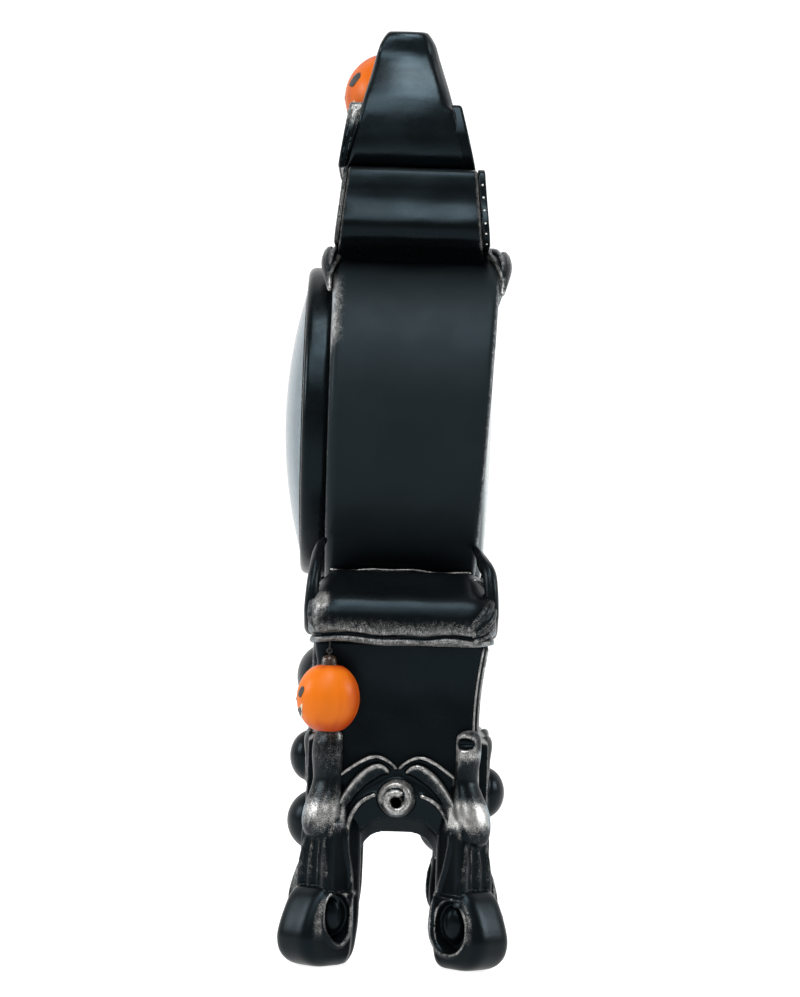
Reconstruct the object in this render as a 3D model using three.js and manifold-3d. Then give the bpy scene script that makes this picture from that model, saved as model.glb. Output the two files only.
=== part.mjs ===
// Table clock: a drum on a footed base, with an upper band, a crest and three lanterns.
// Sizes are in millimetres. +Z is up, -Y is the dial side, and +X is to the right of the dial.

import * as THREE from "three";
import { mergeVertices } from "three/addons/utils/BufferGeometryUtils.js";
import Module from "manifold-3d";

// Clearances
const SEAT_GAP = 0.3; // glue line between castings
const FIT_GAP = 0.1; // slip fits inside the clock insert and the movement

// Base: lower body, legs and aprons
const BODY_HALF_WIDTH = 58;
const BODY_HALF_DEPTH = 25;
const BODY_BOTTOM = 57; // underside of the lower body above the table
const BODY_HEIGHT = 44;
const BODY_FLARE = 2.2; // widening of the lower body under the bolster
const BODY_CORNER = 3;
const LEG_OUTSET = 1.6; // leg axis beyond the lower body's side
const LEG_INSET = 4.4; // leg axis behind the lower body's front
const LEG_WIDTH = 14.5;
const LEG_THICKNESS = 13.2;
const LEG_EDGE = 2.6; // rounding of the leg's edges
const KNEE_HEIGHT = 16.4; // top of the knee's strap above the underside of the lower body
const KNEE_DROP = 17.4; // foot of the knee's paw below it
const KNEE_OUT = 5.2; // paw's axis beyond the leg's axis
const KNEE_HALF_WIDTH = 6.9;
const KNEE_FLAT = 0.7; // strap's thickness over its width
const FOOT_REACH = 16.2; // foot's roll beyond the leg's axis
const FOOT_HEIGHT = 24.6;
const FOOT_WIDTH = 16.4;
const FOOT_EDGE = 2.4; // rounding of the foot's rims
const WHORL_OUT = 2.4; // whorl's centre beyond the leg's axis
const WHORL_HALF_WIDTH = 5.6;
const WHORL_HALF_HEIGHT = 8;
const WHORL_DEPTH = 3.6;
const EYE_RADIUS = 3.8; // ball in the foot's whorl
const APRON_PROUD = 3.5; // apron face beyond the lower body
const APRON_BACK = 3; // apron's depth under the lower body
const ARCH_HALF_WIDTH = 11.4; // opening between two legs, seen from the side
const ARCH_TOP = 41.5;
const ARCH_CURVE = 8.5; // height of the arch's rounded top
const SIDE_CREST = 8.5; // side apron's crest above the underside of the lower body
const SIDE_TUCK = 4.1; // side apron's end short of the leg's axis
const LOBE_WIRE = 1.9; // thickest radius of a side apron's lobe
const ROSETTE_RADIUS = 6;
const ROSETTE_PROUD = 2.2;
const ROSETTE_DROP = 5.2;
const APRON_TUCK = 6; // front apron's end short of the leg's axis
const APRON_CREST = 13; // front apron's crest above the underside of the lower body
const APRON_DROP = 23; // front apron's tips below it
const RIB_WIRE = 2.1; // thickest radius of a front apron's rib
const BOSS_RADIUS = 8.6;
const BOSS_PROUD = 7;
const BOSS_FRONT_RISE = 4.4; // front boss above the underside of the lower body
const BOSS_BACK_RISE = -6;
const PENDANT_RADIUS = 10.5;
const PENDANT_DROP = 16.6; // pendant's centre below the lower body
const PENDANT_FRONT_INSET = -0.2; // front pendant's centre behind the lower body's front
const PENDANT_BACK_INSET = 7.5; // back pendant's centre before the lower body's back
const CARTOUCHE_HALF_WIDTH = 17;
const CARTOUCHE_HALF_HEIGHT = 12.6;
const CARTOUCHE_PROUD = 9.2;

// Bolster and its scrolls
const BOLSTER_OVERHANG = 15; // bolster's end beyond the lower body
const BOLSTER_LIP = 4.4; // bolster's front beyond the lower body
const BOLSTER_HEIGHT = 22;
const BOLSTER_CORNER = 7;
const BOLSTER_ROLL = 4.8; // how far the bolster's top edge rolls in
const SCROLL_RADIUS = 8;
const SCROLL_INSET = 9; // volute's edge from the bolster's end
const SCROLL_WIRE = 3.1; // thickest radius of a scroll's strand

// Drum
const DRUM_RADIUS = 58;
const DRUM_SINK = 10.3; // how far the drum sits down into the bolster
const DRUM_DEPTH = 25.4; // from the drum's middle to its front
const DRUM_BORE = 48;
const DRUM_EDGE = 4;
const DRUM_SIDES = 32; // flats that stand for the drum's round
const DRUM_LEAN = Math.tan(THREE.MathUtils.degToRad(3)); // slope of the drum's back
const COVER_RADIUS = 50;
const COVER_SEAT = 6.2; // depth of the rear cover's seat at mid height
const COVER_WALL = 1.6;
const COVER_CROWN = 1.8;
const LEAF_WIRE = 3.2; // thickest radius of a drum leaf

// Upper band and crest
const BAND_HALF_WIDTH = 42.5;
const BAND_HEIGHT = 24.8;
const BAND_DROP = 1.9; // underside of the band below the drum's top
const BAND_FRONT = 24;
const BAND_BACK = 21.7;
const BAND_TAPER = 0.1; // slope of the band's front and back
const PLATE_THICKNESS = 2;
const BEAD_RADIUS = 1.1;
const BEAD_COUNT = 6;
const CREST_HALF_WIDTH = 31;
const CREST_HEIGHT = 45.4;
const CREST_FRONT = 23;
const CREST_BACK = 17.6;
const CREST_FRONT_SLOPE = 0.245;
const CREST_BACK_SLOPE = 0.3;
const CREST_PLATE_HEIGHT = 21.5;
const CREST_PLATE_WALL = 1.4;

// Lanterns
const CREST_LANTERN_RADIUS = 16.5;
const CREST_LANTERN_FORWARD = 7.5;
const CREST_LANTERN_LIFT = 25.4;
const CREST_POCKET_BACK = 2;
const LANTERN_RADIUS = 9.8;
const LANTERN_HALF_HEIGHT = 11.2;
const LANTERN_DROP = 17.3; // lantern's centre below the bolster
const LANTERN_CLEAR = 1.8; // between a hanging lantern and the lower body
const LANTERN_SETBACK = 2.8; // lantern's axis behind the lower body's front
const LANTERN_LOBES = 8;
const STEM_RADIUS = 1.7;
const STEM_HEIGHT = 1.9;
const WIRE_RADIUS = 0.35;
const LOOP_RADIUS = 1.2;

// Clock insert
const BEZEL_RADIUS = 50;
const BEZEL_DEPTH = 8.2;
const LENS_RADIUS = 44.3;
const LENS_CROWN = 6.5;
const LENS_WALL = 2;
const DIAL_DEPTH = 5.6; // dial face behind the bezel's front
const DIAL_WALL = 1;
const CUP_RADIUS = 46;
const CUP_WALL = 1.4;
const CUP_LENGTH = 23;
const GRIP_SETBACK = 5; // friction ring behind the cup's front
const GRIP_LENGTH = 7;
const GRIP_CHAMFER = 1;
const HOUR_LENGTH = 25;
const MINUTE_LENGTH = 37;
const SECOND_LENGTH = 36;
const HAND_WALL = 0.5;
const HAND_PITCH = 1.1; // spacing of the hands along the arbor
const HOUR_ANGLE = 305;
const MINUTE_ANGLE = 60;

// Movement
const CASE_SIDE = 56;
const CASE_DEPTH = 16;
const CASE_WALL = 1.6;
const BATTERY_RADIUS = 7;
const BATTERY_LENGTH = 50.5;
const BUSH_RADIUS = 4;
const BUSH_RISE = 2.8;
const PIVOT_RADIUS = 0.5;
const HOUR_TUBE = 2.5;
const MINUTE_TUBE = 1.5;
const SECOND_ROD = 0.6;
const MOTION_ROD = 0.7;
const KNOB_RADIUS = 5;
const KNOB_HEIGHT = 4.4;
const WHEEL_WALL = 1.1;

// Wheel train: teeth, modules and the layer of each mesh behind the movement's front
const CANNON_TEETH = 6;
const MOTION_TEETH = 18;
const MOTION_MODULE = 0.835;
const MOTION_PINION_TEETH = 6;
const HOUR_TEETH = 24;
const THIRD_PINION_TEETH = 6;
const CENTRE_TEETH = 48;
const THIRD_MODULE = 0.36;
const SECOND_PINION_TEETH = 6;
const THIRD_TEETH = 45;
const STEP_PINION_TEETH = 6;
const SECOND_TEETH = 36;
const SECOND_MODULE = 0.47;
const ROTOR_PINION_TEETH = 6;
const STEP_TEETH = 30;
const STEP_MODULE = 0.4;
const HOUR_LAYER = 2;
const MOTION_LAYER = 3.9;
const CENTRE_LAYER = 6;
const THIRD_LAYER = 8;
const SECOND_LAYER = 10;
const STEP_LAYER = 11.8;
const ROTOR_RADIUS = 2.6;
const COIL_RADIUS = 2.9;

// Sizes that follow from those above
const LEG_X = BODY_HALF_WIDTH + LEG_OUTSET;
const LEG_Y = BODY_HALF_DEPTH - LEG_INSET;
const BOLSTER_HALF_WIDTH = BODY_HALF_WIDTH + BOLSTER_OVERHANG;
const BOLSTER_HALF_DEPTH = BODY_HALF_DEPTH + BOLSTER_LIP;
const BODY_TOP = BODY_BOTTOM + BODY_HEIGHT;
const BOLSTER_TOP = BODY_TOP + BOLSTER_HEIGHT;
const DRUM_Z = BOLSTER_TOP - DRUM_SINK + DRUM_RADIUS;
const BAND_Z = DRUM_Z + DRUM_RADIUS - BAND_DROP;
const CREST_Z = BAND_Z + BAND_HEIGHT;
const LANTERN_X = BODY_HALF_WIDTH + LANTERN_CLEAR + LANTERN_RADIUS;
const LANTERN_FORWARD = BODY_HALF_DEPTH - LANTERN_SETBACK;
const LANTERN_Z = BODY_TOP - LANTERN_DROP;
const EYE_Z = BODY_TOP - LOOP_RADIUS; // lantern eye's centre, half sunk in the bolster
const HANG_Z = EYE_Z - LOOP_RADIUS; // bottom of the eye, about which a lantern swings
const BEZEL_FRONT = -DRUM_DEPTH - BEZEL_DEPTH;
const LENS_SEAT = BEZEL_FRONT + 2.8;
const DIAL_FRONT = BEZEL_FRONT + DIAL_DEPTH;
const CUP_FRONT = DIAL_FRONT + DIAL_WALL + FIT_GAP;
const CASE_FRONT = CUP_FRONT;
const MOTION_DISTANCE = ((CANNON_TEETH + MOTION_TEETH) * MOTION_MODULE) / 2;
const HOUR_MODULE = (2 * MOTION_DISTANCE) / (MOTION_PINION_TEETH + HOUR_TEETH);
const THIRD_DISTANCE = ((CENTRE_TEETH + THIRD_PINION_TEETH) * THIRD_MODULE) / 2;
const FOURTH_MODULE = (2 * THIRD_DISTANCE) / (SECOND_PINION_TEETH + THIRD_TEETH);
const STEP_DISTANCE = ((STEP_PINION_TEETH + SECOND_TEETH) * SECOND_MODULE) / 2;
const BAY_TOP = CASE_SIDE / 2 - 2 * CASE_WALL - 2 * BATTERY_RADIUS - 3 * FIT_GAP; // bay below the arbors
const ROTOR_DISTANCE = ((ROTOR_PINION_TEETH + STEP_TEETH) * STEP_MODULE) / 2;

const wasm = await Module();
wasm.setup();

function material(name, color, roughness, metalness = 0, opacity = 1) {
  const made = new THREE.MeshStandardMaterial({ color, roughness, metalness });
  made.name = name;
  made.opacity = opacity;
  made.transparent = opacity < 1;
  return made;
}

const resin = material("black_resin", 0x17181b, 0.45);
const orange = material("orange_paint", 0xd2691e, 0.35);
const steel = material("steel", 0xb4b6ba, 0.3, 1);
const brass = material("brass", 0xb9974e, 0.35, 1);
const blackMetal = material("black_metal", 0x101113, 0.3, 0.6);
const glass = material("glass", 0xe6efec, 0.05, 0, 0.35);
const clearPlastic = material("clear_plastic", 0xdfe3e4, 0.12, 0, 0.5);
const paper = material("dial_paper", 0xe9e2cf, 0.7);
const casePlastic = material("case_plastic", 0x26282b, 0.6);
const wheelPlastic = material("wheel_plastic", 0xe8e4d8, 0.5);
const rubber = material("rubber", 0x1b1b1b, 0.9);
const copper = material("copper", 0xa8572d, 0.4, 1);
const board = material("board", 0x1f5a38, 0.6);
const batteryWrap = material("battery_wrap", 0x8a8f96, 0.4, 0.3);

function solid(geometry) {
  const loose = geometry.index ? geometry.toNonIndexed() : geometry;
  const bare = new THREE.BufferGeometry();
  bare.setAttribute("position", loose.getAttribute("position"));
  const merged = mergeVertices(bare, 1e-4);
  const corners = merged.index.array;
  const kept = [];
  for (let i = 0; i < corners.length; i += 3) {
    const [a, b, c] = corners.slice(i, i + 3);
    if (a !== b && b !== c && c !== a) {
      kept.push(a, b, c);
    }
  }
  const mesh = new wasm.Mesh({
    numProp: 3,
    vertProperties: Float32Array.from(merged.getAttribute("position").array),
    triVerts: Uint32Array.from(kept),
  });
  return new wasm.Manifold(mesh);
}

function geometryOf(body) {
  const mesh = body.simplify(0.015).getMesh();
  const geometry = new THREE.BufferGeometry();
  geometry.setAttribute("position", new THREE.BufferAttribute(mesh.vertProperties.slice(), 3));
  geometry.setIndex(new THREE.BufferAttribute(mesh.triVerts.slice(), 1));
  return geometry;
}

function join(...pieces) {
  return geometryOf(wasm.Manifold.union(pieces.map(solid)));
}

function cut(piece, ...tools) {
  return geometryOf(wasm.Manifold.difference([solid(piece), ...tools.map(solid)]));
}

// A closed profile of [radius, y] turned about the Y axis.
function turned(profile, segments) {
  const points = profile.map(([r, y]) => new THREE.Vector2(r, y));
  if (THREE.ShapeUtils.isClockWise(points)) {
    points.reverse();
  }
  const first = points.findIndex((p, i) => p.x === 0 && points.at(i - 1).x === 0);
  const ring = first < 0 ? [...points, points[0]] : [...points.slice(first), ...points.slice(0, first)];
  return new THREE.LatheGeometry(ring, segments);
}

function outline(points) {
  return new THREE.Shape(points.map(([x, y]) => new THREE.Vector2(x, y)));
}

// The right half of an outline, from its middle top to its middle bottom, with its mirror image.
function mirrored(half) {
  const left = half.filter(([x]) => x !== 0).reverse();
  return [...half, ...left.map(([x, y]) => [-x, y])];
}

function slab(shape, depth, bevel = 0, steps = 2) {
  return new THREE.ExtrudeGeometry(shape, {
    depth: depth - 2 * bevel,
    bevelEnabled: bevel > 0,
    bevelThickness: bevel,
    bevelSize: bevel,
    bevelOffset: -bevel,
    bevelSegments: steps,
    curveSegments: 8,
  }).translate(0, 0, bevel);
}

// Stands a slab up facing the dial side: its depth runs from y towards -Y.
function facingFront(geometry, y) {
  return geometry.rotateX(Math.PI / 2).translate(0, y, 0);
}

// Stands a slab up facing +X: its width runs along Y and its depth from x outwards.
function facingSide(geometry, x) {
  return geometry.rotateX(Math.PI / 2).rotateZ(Math.PI / 2).translate(x, 0, 0);
}

// An outline in X and Z, as deep as frontAt and backAt give at each height.
function tapered(points, frontAt, backAt) {
  const geometry = slab(outline(points), 1);
  const places = geometry.getAttribute("position");
  for (let i = 0; i < places.count; i += 1) {
    const z = places.getY(i);
    const y = places.getZ(i) > 0.5 ? frontAt(z) : backAt(z);
    places.setXYZ(i, places.getX(i), y, z);
  }
  return geometry;
}

// Joins rings of points, each with the same count and turning the same way, into a closed skin.
function skin(rings) {
  const places = rings.flat(2);
  const count = rings[0].length;
  const corners = [];
  for (let i = 0; i + 1 < rings.length; i += 1) {
    for (let j = 0; j < count; j += 1) {
      const a = i * count + j;
      const b = i * count + ((j + 1) % count);
      corners.push(a, b, b + count, a, b + count, a + count);
    }
  }
  const last = (rings.length - 1) * count;
  for (let j = 1; j + 1 < count; j += 1) {
    corners.push(0, j + 1, j, last, last + j, last + j + 1);
  }
  const geometry = new THREE.BufferGeometry();
  geometry.setAttribute("position", new THREE.Float32BufferAttribute(places, 3));
  geometry.setIndex(corners);
  return geometry;
}

function roundedRing(halfX, halfY, corner, z, steps = 2) {
  const ring = [];
  for (let quarter = 0; quarter < 4; quarter += 1) {
    const sx = quarter === 0 || quarter === 3 ? 1 : -1;
    const sy = quarter < 2 ? 1 : -1;
    for (let i = 0; i <= steps; i += 1) {
      const angle = ((quarter + i / steps) * Math.PI) / 2;
      const x = sx * (halfX - corner) + corner * Math.cos(angle);
      const y = sy * (halfY - corner) + corner * Math.sin(angle);
      ring.push([x, y, z]);
    }
  }
  return ring;
}

// A strand that follows points and swells as radii say; flat squeezes it along the plane's normal.
function strand(points, radii, normal, { sides = 7, steps = 14, flat = 1 } = {}) {
  const curve = new THREE.CatmullRomCurve3(points.map((p) => new THREE.Vector3(...p)));
  const across = new THREE.Vector3(...normal);
  const rings = [];
  for (let i = 0; i <= steps; i += 1) {
    const share = i / steps;
    const at = share * (radii.length - 1);
    const low = Math.min(Math.floor(at), radii.length - 2);
    const radius = THREE.MathUtils.lerp(radii[low], radii[low + 1], at - low);
    const centre = curve.getPoint(share);
    const out = new THREE.Vector3().crossVectors(curve.getTangent(share), across).normalize();
    const ring = [];
    for (let j = 0; j < sides; j += 1) {
      const angle = (2 * Math.PI * j) / sides;
      const place = centre.clone().addScaledVector(out, radius * Math.cos(angle));
      place.addScaledVector(across, -radius * flat * Math.sin(angle));
      ring.push(place.toArray());
    }
    rings.push(ring);
  }
  return skin(rings);
}

function ball(radius, at, wide = 12, high = 8) {
  return new THREE.SphereGeometry(radius, wide, high).translate(...at);
}

const root = new THREE.Group();
root.name = "table_clock";
const clock = new THREE.Group();
root.add(clock);

function add(name, geometry, look, parent = clock) {
  const mesh = new THREE.Mesh(geometry, look);
  mesh.name = name;
  parent.add(mesh);
  return mesh;
}

function addPair(name, geometry, look) {
  add(`${name}_right`, geometry, look);
  add(`${name}_left`, geometry, look).scale.x = -1;
}

// Lower body: a waisted block that widens under the bolster.
function lowerBody(grow = 0) {
  const levels = [[0, 0.15], [0.3, 0], [0.6, 0], [0.8, 0.35], [1, 1]];
  const rings = levels.map(([share, flare], i) => {
    const out = BODY_FLARE * flare + grow;
    const lift = i === 0 ? -grow : 0;
    const z = BODY_BOTTOM + BODY_HEIGHT * share + lift;
    return roundedRing(BODY_HALF_WIDTH + out, BODY_HALF_DEPTH + out, BODY_CORNER + grow, z);
  });
  return skin(rings);
}

add("lower_body", lowerBody(), resin);

// Legs: a post set across each corner, on a foot that rolls outwards, with a strap over its knee.
function legSide() {
  const half = LEG_THICKNESS / 2;
  const shaft = BODY_BOTTOM - FOOT_HEIGHT;
  const seat = BODY_BOTTOM - SEAT_GAP;
  return [
    [-0.7 * half, 0], [half, 0], [half, BODY_BOTTOM - 0.5 * shaft], [0.7 * half, BODY_BOTTOM - 0.2 * shaft],
    [0.5 * half, seat], [-half, seat], [-half, 0.75 * FOOT_HEIGHT], [-0.85 * half, 0.3 * FOOT_HEIGHT],
  ];
}

// Foot seen from its flank: a bell that is widest low down and rolls under at the table.
function footSide() {
  const bell = [
    [-0.12, 0], [0.5, 0], [0.74, 0.06], [0.93, 0.18], [1, 0.36], [0.96, 0.52], [0.83, 0.72], [0.67, 0.9],
    [0.52, 1], [-0.33, 1], [-0.33, 0.28], [-0.27, 0.1],
  ];
  return bell.map(([out, up]) => [out * FOOT_REACH, up * FOOT_HEIGHT]);
}

// A slab drawn in the leg's plane, centred on it.
function flankSlab(points, width, edge) {
  return slab(outline(points), width, edge, 1).translate(0, 0, -width / 2);
}

const WHORL_UP = 0.57 * FOOT_HEIGHT;

function whorl(side) {
  const pocket = new THREE.CylinderGeometry(1, 1, 2 * WHORL_DEPTH, 8).rotateX(Math.PI / 2);
  pocket.scale(WHORL_HALF_WIDTH, WHORL_HALF_HEIGHT, 1);
  return pocket.translate(WHORL_OUT, WHORL_UP, (side * FOOT_WIDTH) / 2);
}

function whorlEye(side) {
  const floor = side * (FOOT_WIDTH / 2 - WHORL_DEPTH);
  return ball(EYE_RADIUS, [WHORL_OUT, WHORL_UP, floor], 6, 4);
}

// Strap on the corner: rounded at its top, drawn in at its neck and swelling into a paw.
function kneeStrap() {
  const rows = [
    [0.04, 0, 0.3], [0.35, 0.08, 0.65], [0.5, 0.22, 0.68], [0.28, 0.42, 0.68], [0.4, 0.58, 0.81],
    [0.76, 0.71, 0.95], [0.92, 0.82, 1], [1, 0.93, 0.8], [1, 1, 0.35],
  ];
  const top = BODY_BOTTOM + KNEE_HEIGHT;
  const points = rows.map(([out, down]) => [out * KNEE_OUT, top - down * (KNEE_HEIGHT + KNEE_DROP), 0]);
  const radii = rows.map(([, , wide]) => wide * KNEE_HALF_WIDTH);
  return strand(points, radii, [1, 0, 0], { sides: 8, steps: 12, flat: KNEE_FLAT });
}

// Turns a leg-side shape, drawn outwards and upwards, to the corner at +X and -Y.
function toCorner(geometry) {
  return geometry.rotateX(Math.PI / 2).rotateZ(-Math.PI / 4).translate(LEG_X, -LEG_Y, 0);
}

function leg() {
  const post = flankSlab(legSide(), LEG_WIDTH, LEG_EDGE);
  const foot = flankSlab(footSide(), FOOT_WIDTH, FOOT_EDGE);
  const carved = cut(join(post, foot), whorl(1), whorl(-1));
  const whole = join(carved, whorlEye(1), whorlEye(-1), kneeStrap());
  return cut(toCorner(whole), lowerBody(SEAT_GAP));
}

const legGeometry = leg();
add("leg_front_right", legGeometry, resin);
add("leg_front_left", legGeometry, resin).scale.x = -1;
add("leg_back_right", legGeometry, resin).scale.y = -1;
add("leg_back_left", legGeometry, resin).scale.set(-1, -1, 1);

// The room that a leg's post takes, for cutting the aprons.
function legRoom(sx, sy) {
  const across = LEG_WIDTH + 2 * SEAT_GAP;
  const room = new THREE.BoxGeometry(LEG_THICKNESS + 2 * SEAT_GAP, across, 4 * BODY_BOTTOM);
  return room.rotateZ((sx * sy * Math.PI) / 4).translate(sx * LEG_X, sy * LEG_Y, 0);
}

// Side aprons: a scrolled crest over the arch between two legs, with a rosette.
function sideApron() {
  const reach = LEG_Y - SIDE_TUCK;
  const up = (share) => BODY_BOTTOM + share * SIDE_CREST;
  const half = [
    [0, up(0.53)], [0.18 * reach, up(0.82)], [0.44 * reach, up(1)], [0.7 * reach, up(0.88)],
    [0.92 * reach, up(0.59)], [reach, up(0.3)], [reach, ARCH_TOP - ARCH_CURVE],
    [ARCH_HALF_WIDTH, ARCH_TOP - ARCH_CURVE], [0.97 * ARCH_HALF_WIDTH, ARCH_TOP - 0.65 * ARCH_CURVE],
    [0.83 * ARCH_HALF_WIDTH, ARCH_TOP - 0.26 * ARCH_CURVE],
    [0.57 * ARCH_HALF_WIDTH, ARCH_TOP - 0.06 * ARCH_CURVE], [0, ARCH_TOP],
  ];
  const depth = APRON_BACK + APRON_PROUD;
  const plate = facingSide(slab(outline(mirrored(half)), depth), BODY_HALF_WIDTH - APRON_BACK);
  const face = BODY_HALF_WIDTH + APRON_PROUD;
  const bossProfile = [
    [0, 0.4 * ROSETTE_PROUD], [0, -ROSETTE_PROUD], [ROSETTE_RADIUS, -ROSETTE_PROUD],
    [ROSETTE_RADIUS, 0.4 * ROSETTE_PROUD], [0.75 * ROSETTE_RADIUS, ROSETTE_PROUD],
    [0.4 * ROSETTE_RADIUS, 0.6 * ROSETTE_PROUD],
  ];
  const rosette = turned(bossProfile, 12).rotateZ(-Math.PI / 2);
  rosette.translate(face, 0, BODY_BOTTOM - ROSETTE_DROP);
  const lobes = [-1, 1].map((side) => {
    const path = [[0.12, 0.35], [0.44, 0.7], [0.8, 0.47], [0.95, -0.06], [0.86, -0.65]];
    const points = path.map(([share, rise]) => [face - SEAT_GAP, side * share * reach, up(rise)]);
    const radii = [0.4, 0.9, 1, 0.85, 0.4].map((share) => share * LOBE_WIRE);
    return strand(points, radii, [1, 0, 0], { sides: 4, steps: 6 });
  });
  const whole = join(plate, rosette, ...lobes);
  return cut(whole, lowerBody(SEAT_GAP), legRoom(1, 1), legRoom(1, -1));
}

addPair("side_apron", sideApron(), resin);

// Front and back aprons: a wide scrolled plate with a domed boss, over a ball pendant.
function pendant(inset, grow = 0) {
  const place = [0, inset - BODY_HALF_DEPTH, BODY_BOTTOM - PENDANT_DROP];
  return ball(PENDANT_RADIUS + grow, place, 14, 7);
}

function apronBoss(face, rise) {
  const dome = [[0, 0.2 * BOSS_PROUD], [BOSS_RADIUS, 0.2 * BOSS_PROUD]];
  for (const turn of [0, 0.3, 0.6, 0.85]) {
    const angle = (turn * Math.PI) / 2;
    dome.push([BOSS_RADIUS * Math.cos(angle), -BOSS_PROUD * Math.sin(angle)]);
  }
  dome.push([0, -BOSS_PROUD]);
  return turned(dome, 12).translate(0, face, BODY_BOTTOM + rise);
}

function apron(pendantInset, bossRise) {
  const reach = LEG_X - APRON_TUCK;
  const top = [
    [0, 1], [0.13, 0.92], [0.19, 0.58], [0.27, 0.46], [0.41, 0.65],
    [0.56, 0.62], [0.71, 0.35], [0.86, 0.19], [1, 0.04],
  ];
  const bottom = [[1, 0.91], [0.91, 1], [0.82, 0.8], [0.67, 0.61], [0.45, 0.48], [0.22, 0.46], [0, 0.46]];
  const half = [
    ...top.map(([share, rise]) => [share * reach, BODY_BOTTOM + rise * APRON_CREST]),
    ...bottom.map(([share, drop]) => [share * reach, BODY_BOTTOM - drop * APRON_DROP]),
  ];
  const depth = APRON_BACK + APRON_PROUD;
  const plate = facingFront(slab(outline(mirrored(half)), depth), APRON_BACK - BODY_HALF_DEPTH);
  const face = -BODY_HALF_DEPTH - APRON_PROUD;
  const ribs = [-1, 1].map((side) => {
    const path = [[0.24, 0.35], [0.45, 0.37], [0.66, 0.5], [0.82, 0.7], [0.9, 0.87]];
    const places = path.map(([share, drop]) => {
      return [side * share * reach, face + SEAT_GAP, BODY_BOTTOM - drop * APRON_DROP];
    });
    const radii = [0.4, 0.86, 1, 0.86, 0.4].map((share) => share * RIB_WIRE);
    return strand(places, radii, [0, 1, 0], { sides: 4, steps: 6 });
  });
  const whole = join(plate, apronBoss(face, bossRise), ...ribs);
  return cut(whole, lowerBody(SEAT_GAP), legRoom(1, -1), legRoom(-1, -1), pendant(pendantInset, SEAT_GAP));
}

add("front_apron", apron(PENDANT_FRONT_INSET, BOSS_FRONT_RISE), resin);
add("back_apron", apron(PENDANT_BACK_INSET, BOSS_BACK_RISE), resin).scale.y = -1;
add("front_pendant", pendant(PENDANT_FRONT_INSET), resin);
add("back_pendant", pendant(PENDANT_BACK_INSET), resin).scale.y = -1;

// Front cartouche: a plain oval dome on the lower body.
const cartoucheBlank = new THREE.SphereGeometry(1, 16, 10)
  .scale(CARTOUCHE_HALF_WIDTH, CARTOUCHE_PROUD, CARTOUCHE_HALF_HEIGHT)
  .translate(0, -BODY_HALF_DEPTH, BODY_TOP - CARTOUCHE_HALF_HEIGHT - 1);
add("front_cartouche", cut(cartoucheBlank, lowerBody(SEAT_GAP)), resin);

// Bolster: a cushion moulding, hollowed on top for the drum, with an eye under each end for a lantern.
function bolsterBlank(grow = 0) {
  const levels = [
    [0, 0.25], [0.05, 0.08], [0.13, 0.08], [0.16, 0.31], [0.3, 0.08],
    [0.5, 0], [0.72, 0.1], [0.88, 0.38], [1, 1],
  ];
  const rings = levels.map(([share, inset]) => {
    const halfX = BOLSTER_HALF_WIDTH - inset * BOLSTER_ROLL + grow;
    const halfY = BOLSTER_HALF_DEPTH - inset * BOLSTER_ROLL + grow;
    return roundedRing(halfX, halfY, BOLSTER_CORNER, BODY_TOP + BOLSTER_HEIGHT * share, 2);
  });
  return skin(rings);
}

// A round bar along Y that clears the drum all round.
function drumRoom(gap) {
  const segments = DRUM_SIDES;
  const radius = (DRUM_RADIUS + gap) / Math.cos(Math.PI / segments);
  return new THREE.CylinderGeometry(radius, radius, 8 * DRUM_DEPTH, segments).translate(0, 0, DRUM_Z);
}

function eye(side) {
  const ring = new THREE.TorusGeometry(LOOP_RADIUS, WIRE_RADIUS, 4, 10).rotateX(Math.PI / 2);
  return ring.translate(side * LANTERN_X, -LANTERN_FORWARD, EYE_Z);
}

add("bolster", join(cut(bolsterBlank(), drumRoom(SEAT_GAP)), eye(1), eye(-1)), resin);

// Bolster scrolls: a volute at each end of the bolster's front and back, with a tail up beside the drum.
function bolsterScroll() {
  const cx = BOLSTER_HALF_WIDTH - SCROLL_RADIUS - SCROLL_INSET;
  const cz = BODY_TOP + 0.5 * BOLSTER_HEIGHT;
  const y = -BOLSTER_HALF_DEPTH;
  const points = [];
  const turns = 1.4;
  for (let i = 0; i <= 12; i += 1) {
    const share = i / 12;
    const radius = THREE.MathUtils.lerp(0.19 * SCROLL_RADIUS, SCROLL_RADIUS, share);
    const angle = 2 * Math.PI * turns * (share - 1);
    points.push([cx + radius * Math.cos(angle), y, cz + radius * Math.sin(angle)]);
  }
  const tip = Math.PI / 4 - 0.17;
  points.push([cx + 0.95 * SCROLL_RADIUS, y, cz + 0.9 * SCROLL_RADIUS]);
  points.push([cx + 0.3 * SCROLL_RADIUS, y + 0.26 * SCROLL_WIRE, BOLSTER_TOP + 1.45 * SCROLL_WIRE]);
  const reach = DRUM_RADIUS + 0.65 * SCROLL_WIRE;
  points.push([reach * Math.cos(tip), y + 0.84 * SCROLL_WIRE, DRUM_Z - reach * Math.sin(tip)]);
  const shares = [0.52, 0.58, 0.61, 0.65, 0.71, 0.84, 1, 1, 0.84, 0.23];
  const radii = shares.map((share) => share * SCROLL_WIRE);
  const whole = strand(points, radii, [0, 1, 0], { sides: 5, steps: 16, flat: 0.85 });
  return cut(whole, bolsterBlank(SEAT_GAP), drumRoom(SEAT_GAP));
}

const scrollGeometry = bolsterScroll();
add("scroll_front_right", scrollGeometry, resin);
add("scroll_front_left", scrollGeometry, resin).scale.x = -1;
add("scroll_back_right", scrollGeometry, resin).scale.y = -1;
add("scroll_back_left", scrollGeometry, resin).scale.set(-1, -1, 1);

// Drum: a deep ring bored for the insert, with a back that leans and a seat for the rear cover.
const SEAT_Y = DRUM_DEPTH - COVER_SEAT;

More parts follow.
